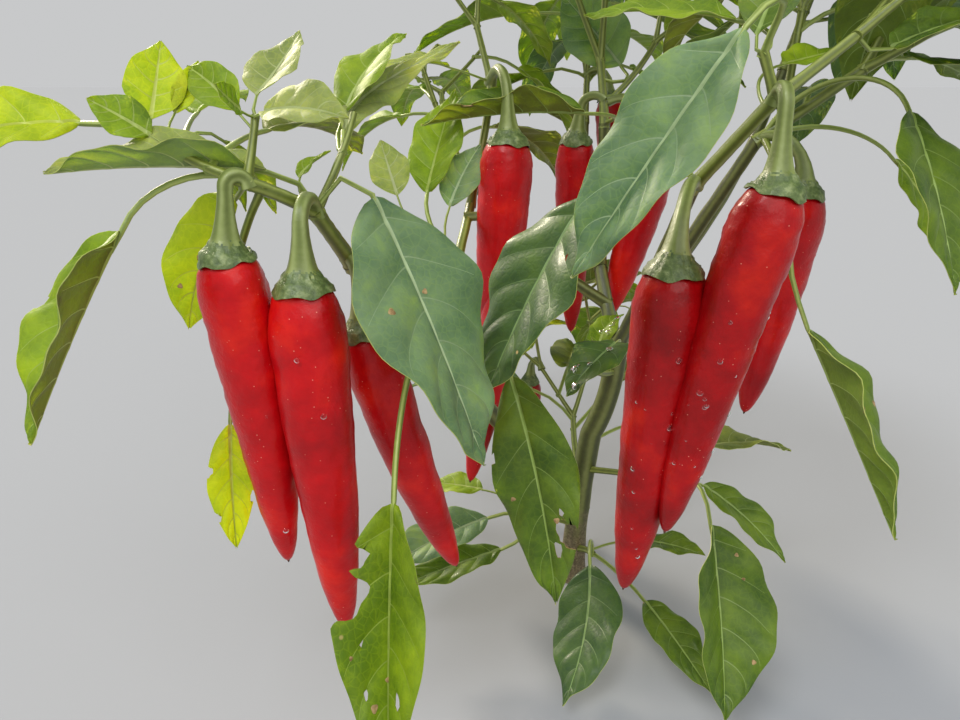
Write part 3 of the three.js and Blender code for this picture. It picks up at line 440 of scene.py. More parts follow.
class Air:
    """The balls of all that stands already, with the number of the organ that owns each."""

    def __init__(self):
        self.points, self.radii = np.zeros((0, 3)), np.zeros(0)
        self.owners, self.count = np.zeros(0, int), 0

    def take(self, organ):
        self.count += 1
        organ["number"] = self.count
        points, radii = organ["balls"]
        self.points = np.concatenate([self.points, points])
        self.radii = np.concatenate([self.radii, radii])
        self.owners = np.concatenate([self.owners, np.full(len(radii), self.count)])

    def fits(self, organ, space, bearer):
        """Whether an organ's middle is in its mass's space and it is clear of all that is there."""
        middle, reach = space
        points, radii = organ["balls"]
        if (((organ["middle"] - middle) / np.array(reach, float)) ** 2).sum() > 1:
            return False
        if points[:, 2].min() < GROUND_AIR:
            return False
        bound = np.linalg.norm(points - organ["axis"].points[0], axis=1) >= ROOT_FREE
        rivals = self.owners != bearer["number"]
        apart = np.linalg.norm(points[bound][:, None] - self.points[rivals][None], axis=2)
        return bool((apart >= radii[bound][:, None] + self.radii[rivals][None] + ORGAN_AIR).all())


def leaf_sizes(draw, rule, start, side, size):
    first = start["heading"] + side * (40 + 60 * draw())
    second = first + side * (40 * draw() - 15)
    high = 50 - 50 * draw()
    middle = 18 - 52 * draw()
    blade = rule["blade"] * size * (0.78 + 0.44 * draw())
    petiole = (22 + 22 * draw()) * math.sqrt(size) * rule.get("petiole", 1)
    sizes = dict(petiole=petiole, blade=blade)
    sizes["wide"] = blade * (0.38 + 0.1 * draw())
    sizes["heading"] = (first, second, second + 30 * (draw() - 0.5))
    sizes["rise"] = (high, middle, middle - 20 - 44 * draw())
    sizes["roll"] = (50 * (draw() - 0.5), 50 * (draw() - 0.5))
    sizes["fold"] = 10 + 22 * draw()
    return sizes


def shoot_sizes(draw, rule, start, side):
    heading = start["heading"] + side * rule.get("turn", 34) * (0.6 + 0.9 * draw())
    rise = min(max(start["rise"] + 50 * (draw() - 0.55), 8), 84)
    length = rule["length"] * (0.8 + 0.4 * draw())
    return dict(length=length, heading=(heading, heading + 16 * (draw() - 0.5)), rise=(rise, rise + 6))


def hanging_sizes(draw):
    heading = 360 * draw()
    body = 74 + 46 * draw()
    return dict(heading=heading, rise=50, hook=18, drop=12, body=body, wide=body * 0.2,
                leans=(heading, PLUMB))


def grow_node(mass, rule, bearer, level, seed):
    """A node at a shoot's end: a leaf to each side, perhaps a fruit, and two new shoots."""
    slot = 0

    def place(make):
        nonlocal slot
        slot += 1
        for attempt in range(TRIES):
            organ = make(dice(seed * 100 + slot * 10 + attempt))
            if air.fits(organ, mass["space"], bearer):
                air.take(organ)
                mass["organs"].append(organ)
                return organ
        return None

    def place_leaf(side, at, size):
        start = bearer["axis"].at(at)
        place(lambda draw: make_leaf(dict(at=at, **leaf_sizes(draw, rule, start, side, size)), bearer))

    turned = 1 if seed % 2 == 0 else -1
    if dice(seed)() < rule.get("bears", FRUIT_SHARE):
        place(lambda draw: make_fruit(dict(at=1, **hanging_sizes(draw)), bearer))
    place_leaf(turned, 0.45, 0.95)
    place_leaf(1, 0.93, 1)
    place_leaf(-1, 0.8, 1)
    bearer["ends"] = level == 0
    if level == 0:
        place_leaf(turned, 0.99, 0.6)
        return
    end = bearer["axis"].at(1)
    thick = (bearer["thick"][1] * 0.9, max(1.8, bearer["thick"][1] * 0.74))
    for index, side in enumerate((1, -1)):
        shoot = place(lambda draw: make_twig(
            dict(at=1, thick=thick, **shoot_sizes(draw, rule, end, side)), bearer))
        if shoot:
            grow_node(mass, rule, shoot, level - 1, seed * 2 + index + 1)


def named_rows(order, rows):
    """Table rows with their values named."""
    return [dict(zip(order, row)) for row in rows]


air = Air()
limbs = {}
for name, (bearer, at, thick, runs) in LIMBS.items():
    start = limbs[bearer]["axis"].at(at)["point"] if bearer else np.zeros(3)
    limb = dict(kind="limb", thick=thick, flare=(0, 1) if bearer else FLARE, axis=Axis(start, runs))
    limb["balls"] = balls_along(limb["axis"], lambda share: limb_radius(limb, share), 8)
    limbs[name] = limb
    air.take(limb)

masses = {}
for name, sizes in MASSES.items():
    stem, = named_rows(TWIG, [sizes["stem"]])
    named = dict(stem=make_twig(stem, limbs[stem["on"]]))
    for twig_name, row in sizes.get("twigs", {}).items():
        twig, = named_rows(TWIG, [row])
        named[twig_name] = make_twig(twig, named[twig["on"]])
    organs = list(named.values())
    for key, order, make in (("leaves", LEAF, make_leaf), ("fruits", FRUIT, make_fruit)):
        organs += [make(row, named[row["on"]]) for row in named_rows(order, sizes.get(key, ()))]
    for organ in organs:
        organ["shown"] = True
        air.take(organ)
    masses[name] = dict(sizes, named=named, organs=organs)
for mass in masses.values():
    for rule in named_rows(GROW, mass.get("grows", ())):
        grow_node(mass, rule, mass["named"][rule["on"]], rule["levels"], rule["seed"])

# The rule goes on to finer shoots with young leaves, which the solids leave out.
FINE = dict(length=20, blade=27, turn=46, bears=0, petiole=0.42)
FINE_SEED = 5000
for mass in masses.values():
    for twig in [organ for organ in mass["organs"] if organ.get("ends")]:
        grow_node(mass, FINE, twig, 1, FINE_SEED + twig["number"])


# Faces that meet at a sharper turn than this, in degrees, keep a crisp edge between them.
SHARP = 55


class Heap:
    """Faces gathered for one joined piece, with the look of each and its place on the skin."""

    def __init__(self):
        self.points, self.faces, self.looks, self.skins, self.count = [], [], [], [], 0

    def add(self, points, *groups):
        """Points, and groups of faces over them: the faces, their looks and their skin places."""
        for faces, looks, skin in groups:
            self.faces.append(faces + self.count)
            self.looks.append(np.full(len(faces), looks) if isinstance(looks, str) else looks)
            self.skins.append(skin.reshape(-1, 2))
        self.points.append(points)
        self.count += len(points)


def make_piece(name, heap, nodes):
    """One mesh object from a heap, which stands for the named solids."""
    looks = np.concatenate(heap.looks)
    used = sorted(set(looks))
    sides = np.concatenate([np.full(len(faces), faces.shape[1]) for faces in heap.faces])
    mesh = bpy.data.meshes.new(name)
    points = np.concatenate(heap.points) * MM
    mesh.vertices.add(len(points))
    mesh.vertices.foreach_set("co", points.ravel())
    mesh.loops.add(int(sides.sum()))
    mesh.loops.foreach_set("vertex_index", np.concatenate([faces.ravel() for faces in heap.faces]))
    mesh.polygons.add(len(sides))
    mesh.polygons.foreach_set("loop_start", np.concatenate([[0], np.cumsum(sides)[:-1]]))
    mesh.polygons.foreach_set("loop_total", sides)
    mesh.polygons.foreach_set("material_index", np.searchsorted(used, looks))
    mesh.polygons.foreach_set("use_smooth", np.ones(len(sides), bool))
    skin = mesh.uv_layers.new(name="skin")
    skin.data.foreach_set("uv", np.concatenate(heap.skins).ravel())
    mesh.update(calc_edges=True)
    mesh.validate()
    mesh.set_sharp_from_angle(angle=math.radians(SHARP))
    for look in used:
        mesh.materials.append(materials[look])
    piece = bpy.data.objects.new(name, mesh)
    bpy.context.collection.objects.link(piece)
    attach(piece, "root")
    if nodes:
        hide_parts(*nodes)


def around(sides):
    """The angles of a skin's sides."""
    return 2 * math.pi * np.arange(sides) / sides


def skin_round(heap, place, radii, look, lengths, shift=None):
    """A closed round skin through rings. radii holds one row for each ring, a value a side."""
    rings, sides = radii.shape
    angles = around(sides)
    out = (np.cos(angles)[None, :, None] * place["side"][:, None]
           + np.sin(angles)[None, :, None] * place["up"][:, None])
    points = place["point"][:, None] + out * radii[..., None]
    if shift is not None:
        points += place["along"][:, None] * shift[..., None]
    ring, side = np.meshgrid(np.arange(rings - 1), np.arange(sides), indexing="ij")
    after = (side + 1) % sides
    walls = np.stack([ring * sides + side, (ring + 1) * sides + side,
                      (ring + 1) * sides + after, ring * sides + after], axis=-1).reshape(-1, 4)
    across = np.stack([side, side, side + 1, side + 1], axis=-1) / sides
    up = np.stack([lengths[ring], lengths[ring + 1], lengths[ring + 1], lengths[ring]], axis=-1)
    wall_looks = look if isinstance(look, str) else look[:-1].ravel()
    groups = [(walls, wall_looks, np.stack([across, up], axis=-1))]
    look = look if isinstance(look, str) else str(look[-1, 0])
    corner = np.arange(sides)
    beyond = (corner + 1) % sides
    for number, first, pair in ((0, 0, (corner, beyond)), (1, (rings - 1) * sides, (beyond, corner))):
        middle = np.full(sides, rings * sides + number)
        fan = np.stack([middle, first + pair[0], first + pair[1]], axis=-1)
        groups.append((fan, look, np.zeros((sides, 3, 2)) + [0.5, lengths[-number]]))
    middles = points[[0, -1]].mean(axis=1)
    heap.add(np.concatenate([points.reshape(-1, 3), middles]), *groups)


def wobble(seed, shape, parts=5, fine=1.0):
    """Gentle unevenness over a grid of rings and sides, about -1 to 1, closed round the skin."""
    draw = dice(seed)
    ring = np.linspace(0, 1, shape[0])[:, None]
    angle = around(shape[1])[None]
    total = np.zeros(shape)
    for _ in range(parts):
        turns, waves = math.floor(4 * fine * draw()), fine * (1 + 7 * draw())
        total += np.sin(turns * angle + 2 * math.pi * (waves * ring + draw())) / parts ** 0.5
    return total


def stem_tube(heap, axis, radius_at, look, sides, spacing, seed,
              ribs=0.06, rough=0.03, sink=1.5, knuckles=0.3):
    """A stem with five ribs that swells where it starts, sunk in its bearer, and where it forks."""
    stations = max(4, math.ceil(axis.length / spacing)) + 1
    shares = np.linspace(0, 1, stations)
    place = axis.frames(shares)
    place["point"][0] -= place["along"][0] * sink
    gone = shares * axis.length
    swell = 1 + knuckles * (np.exp(-gone / 3.0) + 0.6 * np.exp(-(axis.length - gone) / 2.4))
    shape = (1 + ribs * np.cos(5 * around(sides)))[None] * (1 + rough * wobble(seed, (stations, sides)))
    radii = (radius_at(shares) * swell)[:, None] * shape
    place["point"][-1] += place["along"][-1] * radii[-1].mean() * 0.5
    skin_round(heap, place, radii, look, gone * MM)


# One blade's rows and columns, laid flat. The rows follow the side veins, which leave the
# midrib in turn on both hands and lean towards the point, and each vein is a narrow strip.
VEIN_LEAN = 0.22
VEIN_WIDE = 0.27
VEINS_FROM, VEINS_OVER = 0.10, 0.78
BLADE_ENDS = (0.012, 0.985)

# A blade's relief: its thickness, how high the tissue swells between veins, how deep the veins
# and the midrib are sunk above, and how far the midrib and the veins stand out below. They are
# in millimetres on a blade as long as FULL_BLADE, and the margin's ripple is a share of any.
FULL_BLADE = 90
THICK, SWELL, CREASE, MIDRIB_CREASE = 0.34, 1.1, 0.10, 0.22
MIDRIB_RIDGE, VEIN_RIDGE = 0.85, 0.42
RIPPLE = 0.024


def blade_rows(veins, between):
    """For each row: its share along the midrib, its edge of a vein, and how far it is between."""
    rows = [(BLADE_ENDS[0], 0, 0.0)]
    before = BLADE_ENDS[0]
    for index in range(veins + 1):
        middle = VEINS_FROM + VEINS_OVER * index / (veins - 1) if index < veins else BLADE_ENDS[1]
        for step in range(1, between + 1):
            rows.append((blend(before, middle, step / (between + 1)), 0, step / (between + 1)))
        if index < veins:
            rows += [(middle, -1, 0.0), (middle, 1, 0.0)]
            before = middle
    rows.append((BLADE_ENDS[1], 0, 0.0))
    return np.array(rows)


def cut_out(across, along, hole):
    """How far each place is from the middle of an eaten patch, with 1 at its ragged edge."""
    middle_across, middle_along, half_across, half_along, phase = hole
    off_across = (across - middle_across) / half_across
    off_along = (along - middle_along) / half_along
    angle = np.arctan2(off_along, off_across)
    ragged = 1 + 0.14 * np.sin(3 * angle + phase) + 0.09 * np.sin(7 * angle + 2 * phase)
    return np.hypot(off_across, off_along) / ragged, off_across, off_along


def middles(grid):
    """The value in the middle of each of a grid's cells."""
    return (grid[:-1, :-1] + grid[1:, 1:] + grid[:-1, 1:] + grid[1:, :-1]) / 4


def eaten_out(leaf, draw, across, along):
    """Takes eaten patches out of a blade's cells, and pulls what is left up to their edges."""
    keep = np.ones(middles(across).shape, bool)
    for side_share, along_share, half_across, half_along in leaf.get("eaten", ()):
        level = leaf["wide"] / 2 * float(leaf_outline(along_share))
        hole = side_share * level, along_share * leaf["blade"], half_across, half_along, 6.3 * draw()
        gone = cut_out(middles(across), middles(along), hole)[0] < 1
        keep &= ~gone
        padded = np.pad(gone, 1)
        near = padded[:-1, :-1] | padded[1:, 1:] | padded[:-1, 1:] | padded[1:, :-1]
        far, off_across, off_along = cut_out(across, along, hole)
        onto = near & (far > 0.2)
        pull = np.where(onto, 1 / np.maximum(far, 0.2), 1)
        across = np.where(onto, hole[0] + off_across * hole[2] * pull, across)
        along = np.where(onto, hole[1] + off_along * hole[3] * pull, along)
    return keep, across, along


def blade_faces(leaf, rows, part, keep):
    """A blade's faces and their looks: above, beneath, and walls where no neighbour is kept."""
    row, column = np.nonzero(keep)
    line, under = len(part), len(rows) * len(part)
    corner = row * line + column
    quads = np.stack([corner, corner + 1, corner + line + 1, corner + line], axis=-1)
    look, under_look = (2 * leaf["looks"].split())[:2]
    on_vein = (rows[row, 1] == -1) & (part[column] < 0.9) & (part[column + 1] < 1)
    on_rib = (part[column] == 0) & (part[column + 1] == 0)
    looks = [np.where(on_rib, look + "_rib", np.where(on_vein, look + "_vein", look)),
             np.where(on_rib | on_vein, look + "_rib", under_look + "_under")]
    faces = [quads, quads[:, ::-1] + under]
    padded = np.pad(keep, 1)
    for missing, outer, first, second in (
            (~padded[1:-1, :-2], column == 0, line, 0),
            (~padded[1:-1, 2:], column == line - 2, 1, line + 1),
            (~padded[:-2, 1:-1], row == 0, 0, 1),
            (~padded[2:, 1:-1], row == len(rows) - 2, line + 1, line)):
        bare = missing[row, column]
        a, b = corner[bare] + first, corner[bare] + second
        faces.append(np.stack([b, a, a + under, b + under], axis=-1))
        looks.append(np.where(outer[bare], "leaf_rim", "scar"))
    return np.concatenate(faces), np.concatenate(looks)


def add_blade(heap, leaf, seed):
    """A leaf blade as a thin closed shell: sunk veins above, raised ones below, eaten patches out."""
    veins, columns, between = leaf["fineness"]
    rows = blade_rows(veins, between)
    blade, wide = leaf["blade"], leaf["wide"]
    draw = dice(seed)
    hands = np.concatenate([np.arange(-columns, 1) - 1, [0], np.arange(0, columns + 1) + 1])
    part = np.maximum(np.abs(hands) - 1, 0) / columns
    hand = np.sign(hands)
    base, edge, between_veins = rows.T[:, :, None]
    inner = 4 * base * (1 - base)
    share = base + VEIN_LEAN * inner * part[None] ** 1.35 + 0.024 * inner * hand[None]
    share = share + edge * VEIN_WIDE / blade * (1 - 0.7 * part[None])
    phase = [2 * math.pi * draw() for _ in range(6)]
    half = wide / 2 * leaf_outline(share)
    half = half * (1 + 0.03 * np.sin(2 * math.pi * 2.3 * share + phase[0] + hand[None] * phase[1]))
    rib = 0.62 * (1 - share) + 0.14
    across = hand[None] * (rib + np.maximum(half - rib, 0.05) * part[None])
    across[:, columns + 1] = 0
    along = share * blade

    flat = across, along
    keep, across, along = eaten_out(leaf, draw, across, along)
    if leaf.get("eaten"):
        share = along / blade

    out = np.clip(np.abs(across) / np.maximum(half, 0.4), 0, 1.2)
    fold = math.radians(leaf["fold"])
    size = blade / FULL_BLADE
    ripple = RIPPLE * blade * np.minimum(1, half / (0.05 * blade))
    turn = 2 * math.pi
    height = np.abs(across) * math.sin(fold) * (0.86 + 0.14 * out)
    height += ripple * out ** 2.2 * np.sin(turn * 2.1 * share + phase[2] + hand[None] * phase[3])
    height += 0.4 * ripple * out ** 2 * np.sin(turn * 4.7 * share + phase[4] + hand[None] * phase[5])
    height -= 0.10 * half * out ** 4
    height += SWELL * size * np.sin(math.pi * between_veins) * np.sin(math.pi * np.clip(out, 0, 1)) ** 0.7
    crease = np.where(edge != 0, CREASE * size * (1 - part[None]), 0)
    ridge = np.where(hands == 0, MIDRIB_RIDGE, np.where(part == 0, VEIN_RIDGE, 0.0))[None]
    top = height - crease - np.where(hands == 0, MIDRIB_CREASE * size, 0)[None]
    below = height - THICK * max(size, 0.5) - ridge * (1.05 - share) * size - crease

    place = blade_frames(leaf, share.ravel())
    level = (across * math.cos(fold)).ravel()[:, None]
    skins = [place["point"] + place["side"] * level + place["up"] * rise.ravel()[:, None]
             for rise in (top, below)]
    points = np.concatenate(skins)
    skin = np.tile(np.stack([(across / wide + 0.5).ravel(), share.ravel()], axis=-1), (2, 1))

    faces, looks = blade_faces(leaf, rows, part, keep)
    kept, places = np.unique(faces, return_inverse=True)
    faces = places.reshape(faces.shape)
    heap.add(points[kept], (faces, looks, skin[kept][faces]))
    add_scabs(heap, leaf, flat, skins[0].reshape(*across.shape, 3))


def add_scabs(heap, leaf, flat, surface):
    """A leaf's dry spots, each a low scab on the surface. flat is the blade laid flat."""
    for side_share, along_share, radius in leaf.get("spots", ()):
        level = leaf["wide"] / 2 * float(leaf_outline(along_share))
        miss = np.hypot(flat[0] - side_share * level, flat[1] - along_share * leaf["blade"])[1:-1, 1:-1]
        row, column = np.array(np.unravel_index(miss.argmin(), miss.shape)) + 1
        out = np.cross(surface[row, column + 1] - surface[row, column - 1],
                       surface[row + 1, column] - surface[row - 1, column])
        add_bead(heap, surface[row, column], out, radius, 0.16 / radius, "scar")


# How deep the root of a leaf's or fruit's stalk is sunk in its bearer.
STALK_SINK = 1.2


def add_petiole(heap, leaf):
    """The leaf's stalk, grooved above, which runs out under the midrib."""
    start = leaf["start"]
    size = max(0.42, min(1, leaf["blade"] / 60))
    stations = max(6, math.ceil(leaf["petiole"] / 3.5)) + 3
    gone = np.concatenate([np.linspace(0, 1, stations - 3), [1.03, 1.08, 1.16]])
    shares = np.minimum(gone * start, start + (gone - 1) * (1 - start))
    place = leaf["axis"].frames(shares, leaf["roll"][0])
    place["point"][0] -= place["along"][0] * STALK_SINK
    sunk = np.interp(gone, [0.9, 1.03, 1.16], [0, 0.5, 0.75]) * size
    place["point"] -= place["up"] * sunk[:, None]
    radius = np.interp(gone, [0, 0.06, 0.85, 1, 1.08, 1.16], [1.75, 1.35, 1.0, 0.95, 0.55, 0.2]) * size
    angles = around(10 if leaf["blade"] > 40 else 6)
    shape = 1 + 0.06 * np.cos(3 * angles) - 0.22 * np.maximum(0, np.sin(angles)) ** 6
    lengths = shares * leaf["axis"].length * MM
    skin_round(heap, place, radius[:, None] * shape[None], "petiole", lengths)


# The thick end of the pedicel and its calyx: the distance from where the fruit's body starts,
# and the radius as a share of half the fruit's width. The cup is the calyx's wrinkled part.
CALYX = ((-19, 0.205), (-15, 0.225), (-11, 0.27), (-8.2, 0.315), (-6.4, 0.355), (-5.3, 0.385),
         (-4.7, 0.41), (-4.2, 0.44), (-3.6, 0.47), (-2.8, 0.51), (-2.0, 0.565), (-1.2, 0.63),
         (-0.4, 0.69), (0.3, 0.74), (0.9, 0.785), (1.4, 0.81))
CUP = -4.8
BODY_LIFT = 2.6

# Half the width of the fruit that CALYX's distances fit.
FULL_HALF = 12.5


def add_fruit(heap, stalks, fruit, look):
    """A fruit's long glossy body with its dried tip, and its stalk and calyx."""
    seed = fruit["number"]
    draw = dice(seed)
    lean, fall = fruit["leans"]
    bow = 9 * (draw() - 0.5)
    end = fruit["axis"].at(1 - BODY_LIFT / fruit["axis"].length)["point"]
    body = Axis(end, [(fruit["body"] + BODY_LIFT, (lean, lean), (fall + bow, fall - bow))])
    fruit["skin_axis"] = body
    sides, rings = 40, 76
    share = np.linspace(0, 1, rings)
    share = 0.5 * share + 0.5 * (1 - np.cos(math.pi * share)) / 2
    share[-1] = 0.9985
    place = body.frames(share)
    angles = around(sides)[None]
    fade = ((1 - share) ** 1.2)[:, None]
    phase = 6.28 * draw()
    shape = (1 + 0.045 * fade * np.cos(3 * angles + phase) + 0.02 * np.cos(2 * angles + 2 * phase)
             + 0.018 * wobble(seed, (rings, sides), 9)
             + (0.008 + 0.008 * fade) * wobble(seed + 50, (rings, sides), 9, 3.2))
    tucked = np.interp(share * body.length, [0, 2.0], [0.8, 1])
    radii = fruit["wide"] / 2 * (tucked * fruit_outline(share))[:, None] * shape
    skin_round(heap, place, radii, look, share * body.length * MM)
    tip = body.frames(np.array([0.988, 0.994, 1.0]))
    tip["point"][-1] += tip["along"][-1] * 0.9
    tip_radii = np.repeat([[1.0], [0.8], [0.25]], 8, axis=1)
    skin_round(heap, tip, tip_radii, "fruit_tip", np.arange(3) * MM)

    add_calyx(stalks, fruit, body, phase)


def add_calyx(heap, fruit, body, phase):
    """The stalk and the wrinkled, scalloped calyx as one skin, which ends on the fruit's body."""
    stalk = fruit["axis"]
    half = fruit["wide"] / 2
    scale = half / FULL_HALF
    seed = fruit["number"]
    sides = 48
    angles = around(sides)
    long = stalk.length - BODY_LIFT
    count = max(8, math.ceil(long / 2.2))
    reach = long + CALYX[0][0] - 0.5
    gone = np.linspace(0, reach, count)
    off, share = np.array(CALYX).T
    first = stalk.frames(np.concatenate([gone, long + off[off <= 0]]) / stalk.length)
    second = body.frames(off[off > 0] * scale / fruit["body"], fruit["leans"][0] - fruit["heading"])
    place = {key: np.concatenate([first[key], second[key]]) for key in ("point", "along", "side", "up")}
    place["point"][0] -= place["along"][0] * STALK_SINK
    slim = np.interp(gone / max(reach, 1), [0, 0.12, 1], [3.1, 2.35, 2.45]) * scale ** 0.5
    past = np.concatenate([np.full(count, -40), off])
    radii = np.concatenate([slim, share * half])[:, None] * np.ones(sides)[None]
    ribs = np.interp(past, [CUP - 3, CUP + 1], [0.05, 0.015])[:, None]
    radii *= 1 + ribs * np.cos(5 * angles + phase)[None]
    cup = np.interp(past, [CUP, CUP + 1.2, 0, 1.4], [0, 1, 0.8, 0])[:, None]
    radii += cup * scale * (0.30 * wobble(seed + 90, radii.shape, 12, 9.0)
                            + 0.16 * (np.sin(11 * angles + phase) + np.sin(17 * angles + 2 * phase))[None])
    lengths = np.concatenate([gone, long + off])
    scallop = 1.25 * np.abs(np.cos(2.5 * angles + phase)) ** 1.5 + 0.25 * np.sin(9 * angles + phase)
    scallop = scallop * scale
    shift = np.zeros(radii.shape)
    shift[-3], shift[-2], shift[-1] = 0.25 * scallop, 0.6 * scallop, scallop
    # The calyx's edge turns in under itself and ends inside the fruit.
    last = len(radii) - 1
    for inward, back in ((0.5, 0.15), (1.6, -2.4)):
        for key in ("point", "along", "side", "up"):
            place[key] = np.concatenate([place[key], place[key][last][None]])
        radii = np.concatenate([radii, (radii[last] - inward)[None]])
        shift = np.concatenate([shift, (scallop + back)[None]])
        lengths = np.append(lengths, lengths[-1] + 0.5)
    ragged = np.append(past, [9, 9])[:, None] + 0.8 * wobble(seed + 70, radii.shape, 9, 6.0)
    looks = np.where(ragged < CUP + 0.4, "fruit_stalk", "calyx")
    skin_round(heap, place, radii, looks, lengths * MM, shift)


def add_bead(heap, point, out, radius, tall, look):
    """A round bead that lies on a surface: a drop of water, or a dry spot's low scab."""
    out = out / np.linalg.norm(out)
    side = np.cross(out, [0.31, 0.22, 0.93])
    side /= np.linalg.norm(side)
    high = tall * np.array([-0.22, 0.09, 0.44, 0.73, 0.91, 1.0])
    place = dict(point=point + out * radius * high[:, None], along=np.tile(out, (6, 1)),
                 side=np.tile(side, (6, 1)), up=np.tile(np.cross(out, side), (6, 1)))
    wide = radius * np.array([0.96, 1.0, 0.93, 0.72, 0.42, 0.12])
    uneven = 1 + (0.16 if look == "scar" else 0.03) * np.cos(3 * around(14) + 40 * radius)
    skin_round(heap, place, wide[:, None] * uneven[None], look, high * radius * MM)


def add_bud(heap, axis, draw, open_flower):
    """A flower bud on its thin stalk, or a small white flower that hangs open."""
    heading = 360 * draw()
    length = 5 + 3 * draw()
    stalk = Axis(axis.points[-1], [(length, (heading, heading), (60, -20 - 50 * draw()))])
    shares = np.linspace(0, 1, 6)
    place = stalk.frames(shares)
    place["point"][0] -= place["along"][0]
    radius = np.interp(shares, [0, 0.7, 1], [0.55, 0.6, 0.95])
    skin_round(heap, place, np.repeat(radius[:, None], 6, axis=1), "petiole", shares * stalk.length * MM)
    tip = stalk.at(1)
    long = 4.6 if open_flower else 3.4 + 2 * draw()
    body = Axis(tip["point"], [straight(long, heading, tip["rise"])])
    shares = np.array([0.0, 0.12, 0.3, 0.5, 0.7, 0.86, 0.97])
    radius = long * np.array([0.24, 0.33, 0.37, 0.36, 0.33, 0.24, 0.08])
    cup = np.repeat(radius[:4, None], 10, axis=1)
    skin_round(heap, body.frames(shares[:4]), cup, "calyx", shares[:4] * long * MM)
    closed = 0.97 * radius[2:, None] * (1 + 0.07 * np.cos(5 * around(10)))[None]
    skin_round(heap, body.frames(shares[2:]), closed, "petal", shares[2:] * long * MM)
    if open_flower:
        crown = body.frames(np.array([0.62, 0.7, 0.78, 0.72]))
        star = 0.55 + 0.45 * np.abs(np.cos(2.5 * around(30))) ** 0.8
        radii = np.array([1.2, 4.2, 7.0, 7.1])[:, None] * star[None]
        radii[0] = 1.2
        radii[3] = radii[2] - 0.4
        skin_round(heap, crown, radii, "petal", np.arange(4) * MM)


# Colours are in linear light. For each look of a leaf: a darker and a lighter tone that its
# finish wanders between, the midrib's, and the underside's.
LEAF_TONES = {
    # dusty is a paler, bluer green: a painted sheen of the sky on the blade.
    "dusty": ((0.090, 0.165, 0.075), (0.165, 0.255, 0.120), (0.36, 0.47, 0.24), (0.19, 0.26, 0.10)),
    "deep": ((0.030, 0.070, 0.020), (0.064, 0.120, 0.032), (0.24, 0.36, 0.12), (0.10, 0.18, 0.06)),
    "green": ((0.048, 0.095, 0.009), (0.110, 0.175, 0.014), (0.30, 0.42, 0.10), (0.15, 0.22, 0.03)),
    "fresh": ((0.090, 0.160, 0.006), (0.190, 0.280, 0.010), (0.38, 0.48, 0.10), (0.21, 0.30, 0.03)),
    # lit is a bright yellow-green: painted sunlight shining through the blade.
    "lit": ((0.240, 0.340, 0.003), (0.400, 0.490, 0.006), (0.50, 0.58, 0.07), (0.36, 0.44, 0.01)),
    "olive": ((0.085, 0.115, 0.016), (0.160, 0.190, 0.028), (0.36, 0.40, 0.12), (0.165, 0.180, 0.030)),
    "pale": ((0.170, 0.215, 0.060), (0.290, 0.335, 0.100), (0.42, 0.48, 0.20), (0.300, 0.320, 0.110)),
}
GLOSSY_LEAVES = ("deep", "green")

# The tan specks of leaves, the pale ones of fruit, and the cork, which fades out at a height
# in metres.
SPECK_TONE = (0.50, 0.36, 0.16)
FRUIT_SPECK_TONE = (0.74, 0.30, 0.22)
CORK_TONES = ((0.10, 0.075, 0.035), (0.30, 0.24, 0.13))
CORK_TOP = 0.062


def new_material(name, settings):
    """A material, and its shader with the given values set, which are the same all over."""
    material = bpy.data.materials.new(name)
    material.use_nodes = True
    shader = next(node for node in material.node_tree.nodes if node.type == "BSDF_PRINCIPLED")
    for socket, value in {"Coat Roughness": 0.12, **settings}.items():
        shader.inputs[socket].default_value = value
    return material, shader


class Pattern:
    """Adds nodes to a material, each call one step of its pattern."""

    def __init__(self, material):
        self.tree = material.node_tree
        self.spot = self.step("TexCoord", "Object")

    def step(self, kind, output, inputs=(), **settings):
        """One node. Each of its inputs takes a fixed value, or what an earlier step gives."""
        node = self.tree.nodes.new("ShaderNode" + kind)
        for key, value in settings.items():
            setattr(node, key, value)
        for socket, value in dict(inputs).items():
            if isinstance(value, bpy.types.NodeSocket):
                self.tree.links.new(value, node.inputs[socket])
            else:
                node.inputs[socket].default_value = value
        return node.outputs[output]

    def noise(self, scale, detail=2.0, rough=0.5):
        return self.step("TexNoise", "Fac", {
            "Vector": self.spot, "Scale": scale, "Detail": detail, "Roughness": rough})

    def cells(self, scale, feature="F1"):
        return self.step("TexVoronoi", "Distance", {"Vector": self.spot, "Scale": scale}, feature=feature)

    def math(self, kind, first, second=0.0):
        return self.step("Math", "Value", {0: first, 1: second}, operation=kind)

    def ramp(self, value, *stops):
        """A colour for a value. Each stop has a place and a colour, or one grey."""
        output = self.step("ValToRGB", "Color", {"Fac": value})
        elements = output.node.color_ramp.elements
        while len(elements) < len(stops):
            elements.new(0.5)
        for element, (place, colour) in zip(elements, stops):
            element.position = place
            element.color = (*colour, 1.0) if isinstance(colour, tuple) else (colour, colour, colour, 1.0)
        return output

    def mix(self, share, first, second):
        """Goes from one colour to another. A mix node's colours are its sockets 6 and 7."""
        second = (*second, 1.0) if isinstance(second, tuple) else second
        return self.step("Mix", 2, {0: share, 6: first, 7: second}, data_type="RGBA")

    def specks(self, scale, edge, rare_scale, rare_edge):
        """Small round specks, only where a wider noise is high."""
        speck = self.ramp(self.cells(scale), (edge[0], 1.0), (edge[1], 0.0))
        rare = self.ramp(self.noise(rare_scale, 1.0), (rare_edge[0], 0.0), (rare_edge[1], 1.0))
        return self.math("MULTIPLY", speck, rare)

    def finish(self, shader, colour, height, depth, strength):
        """Gives the shader its colour and its relief, whose depth is in metres."""
        relief = self.step("Bump", "Normal", {"Height": height, "Distance": depth, "Strength": strength})
        self.tree.links.new(colour, shader.inputs["Base Color"])
        self.tree.links.new(relief, shader.inputs["Normal"])


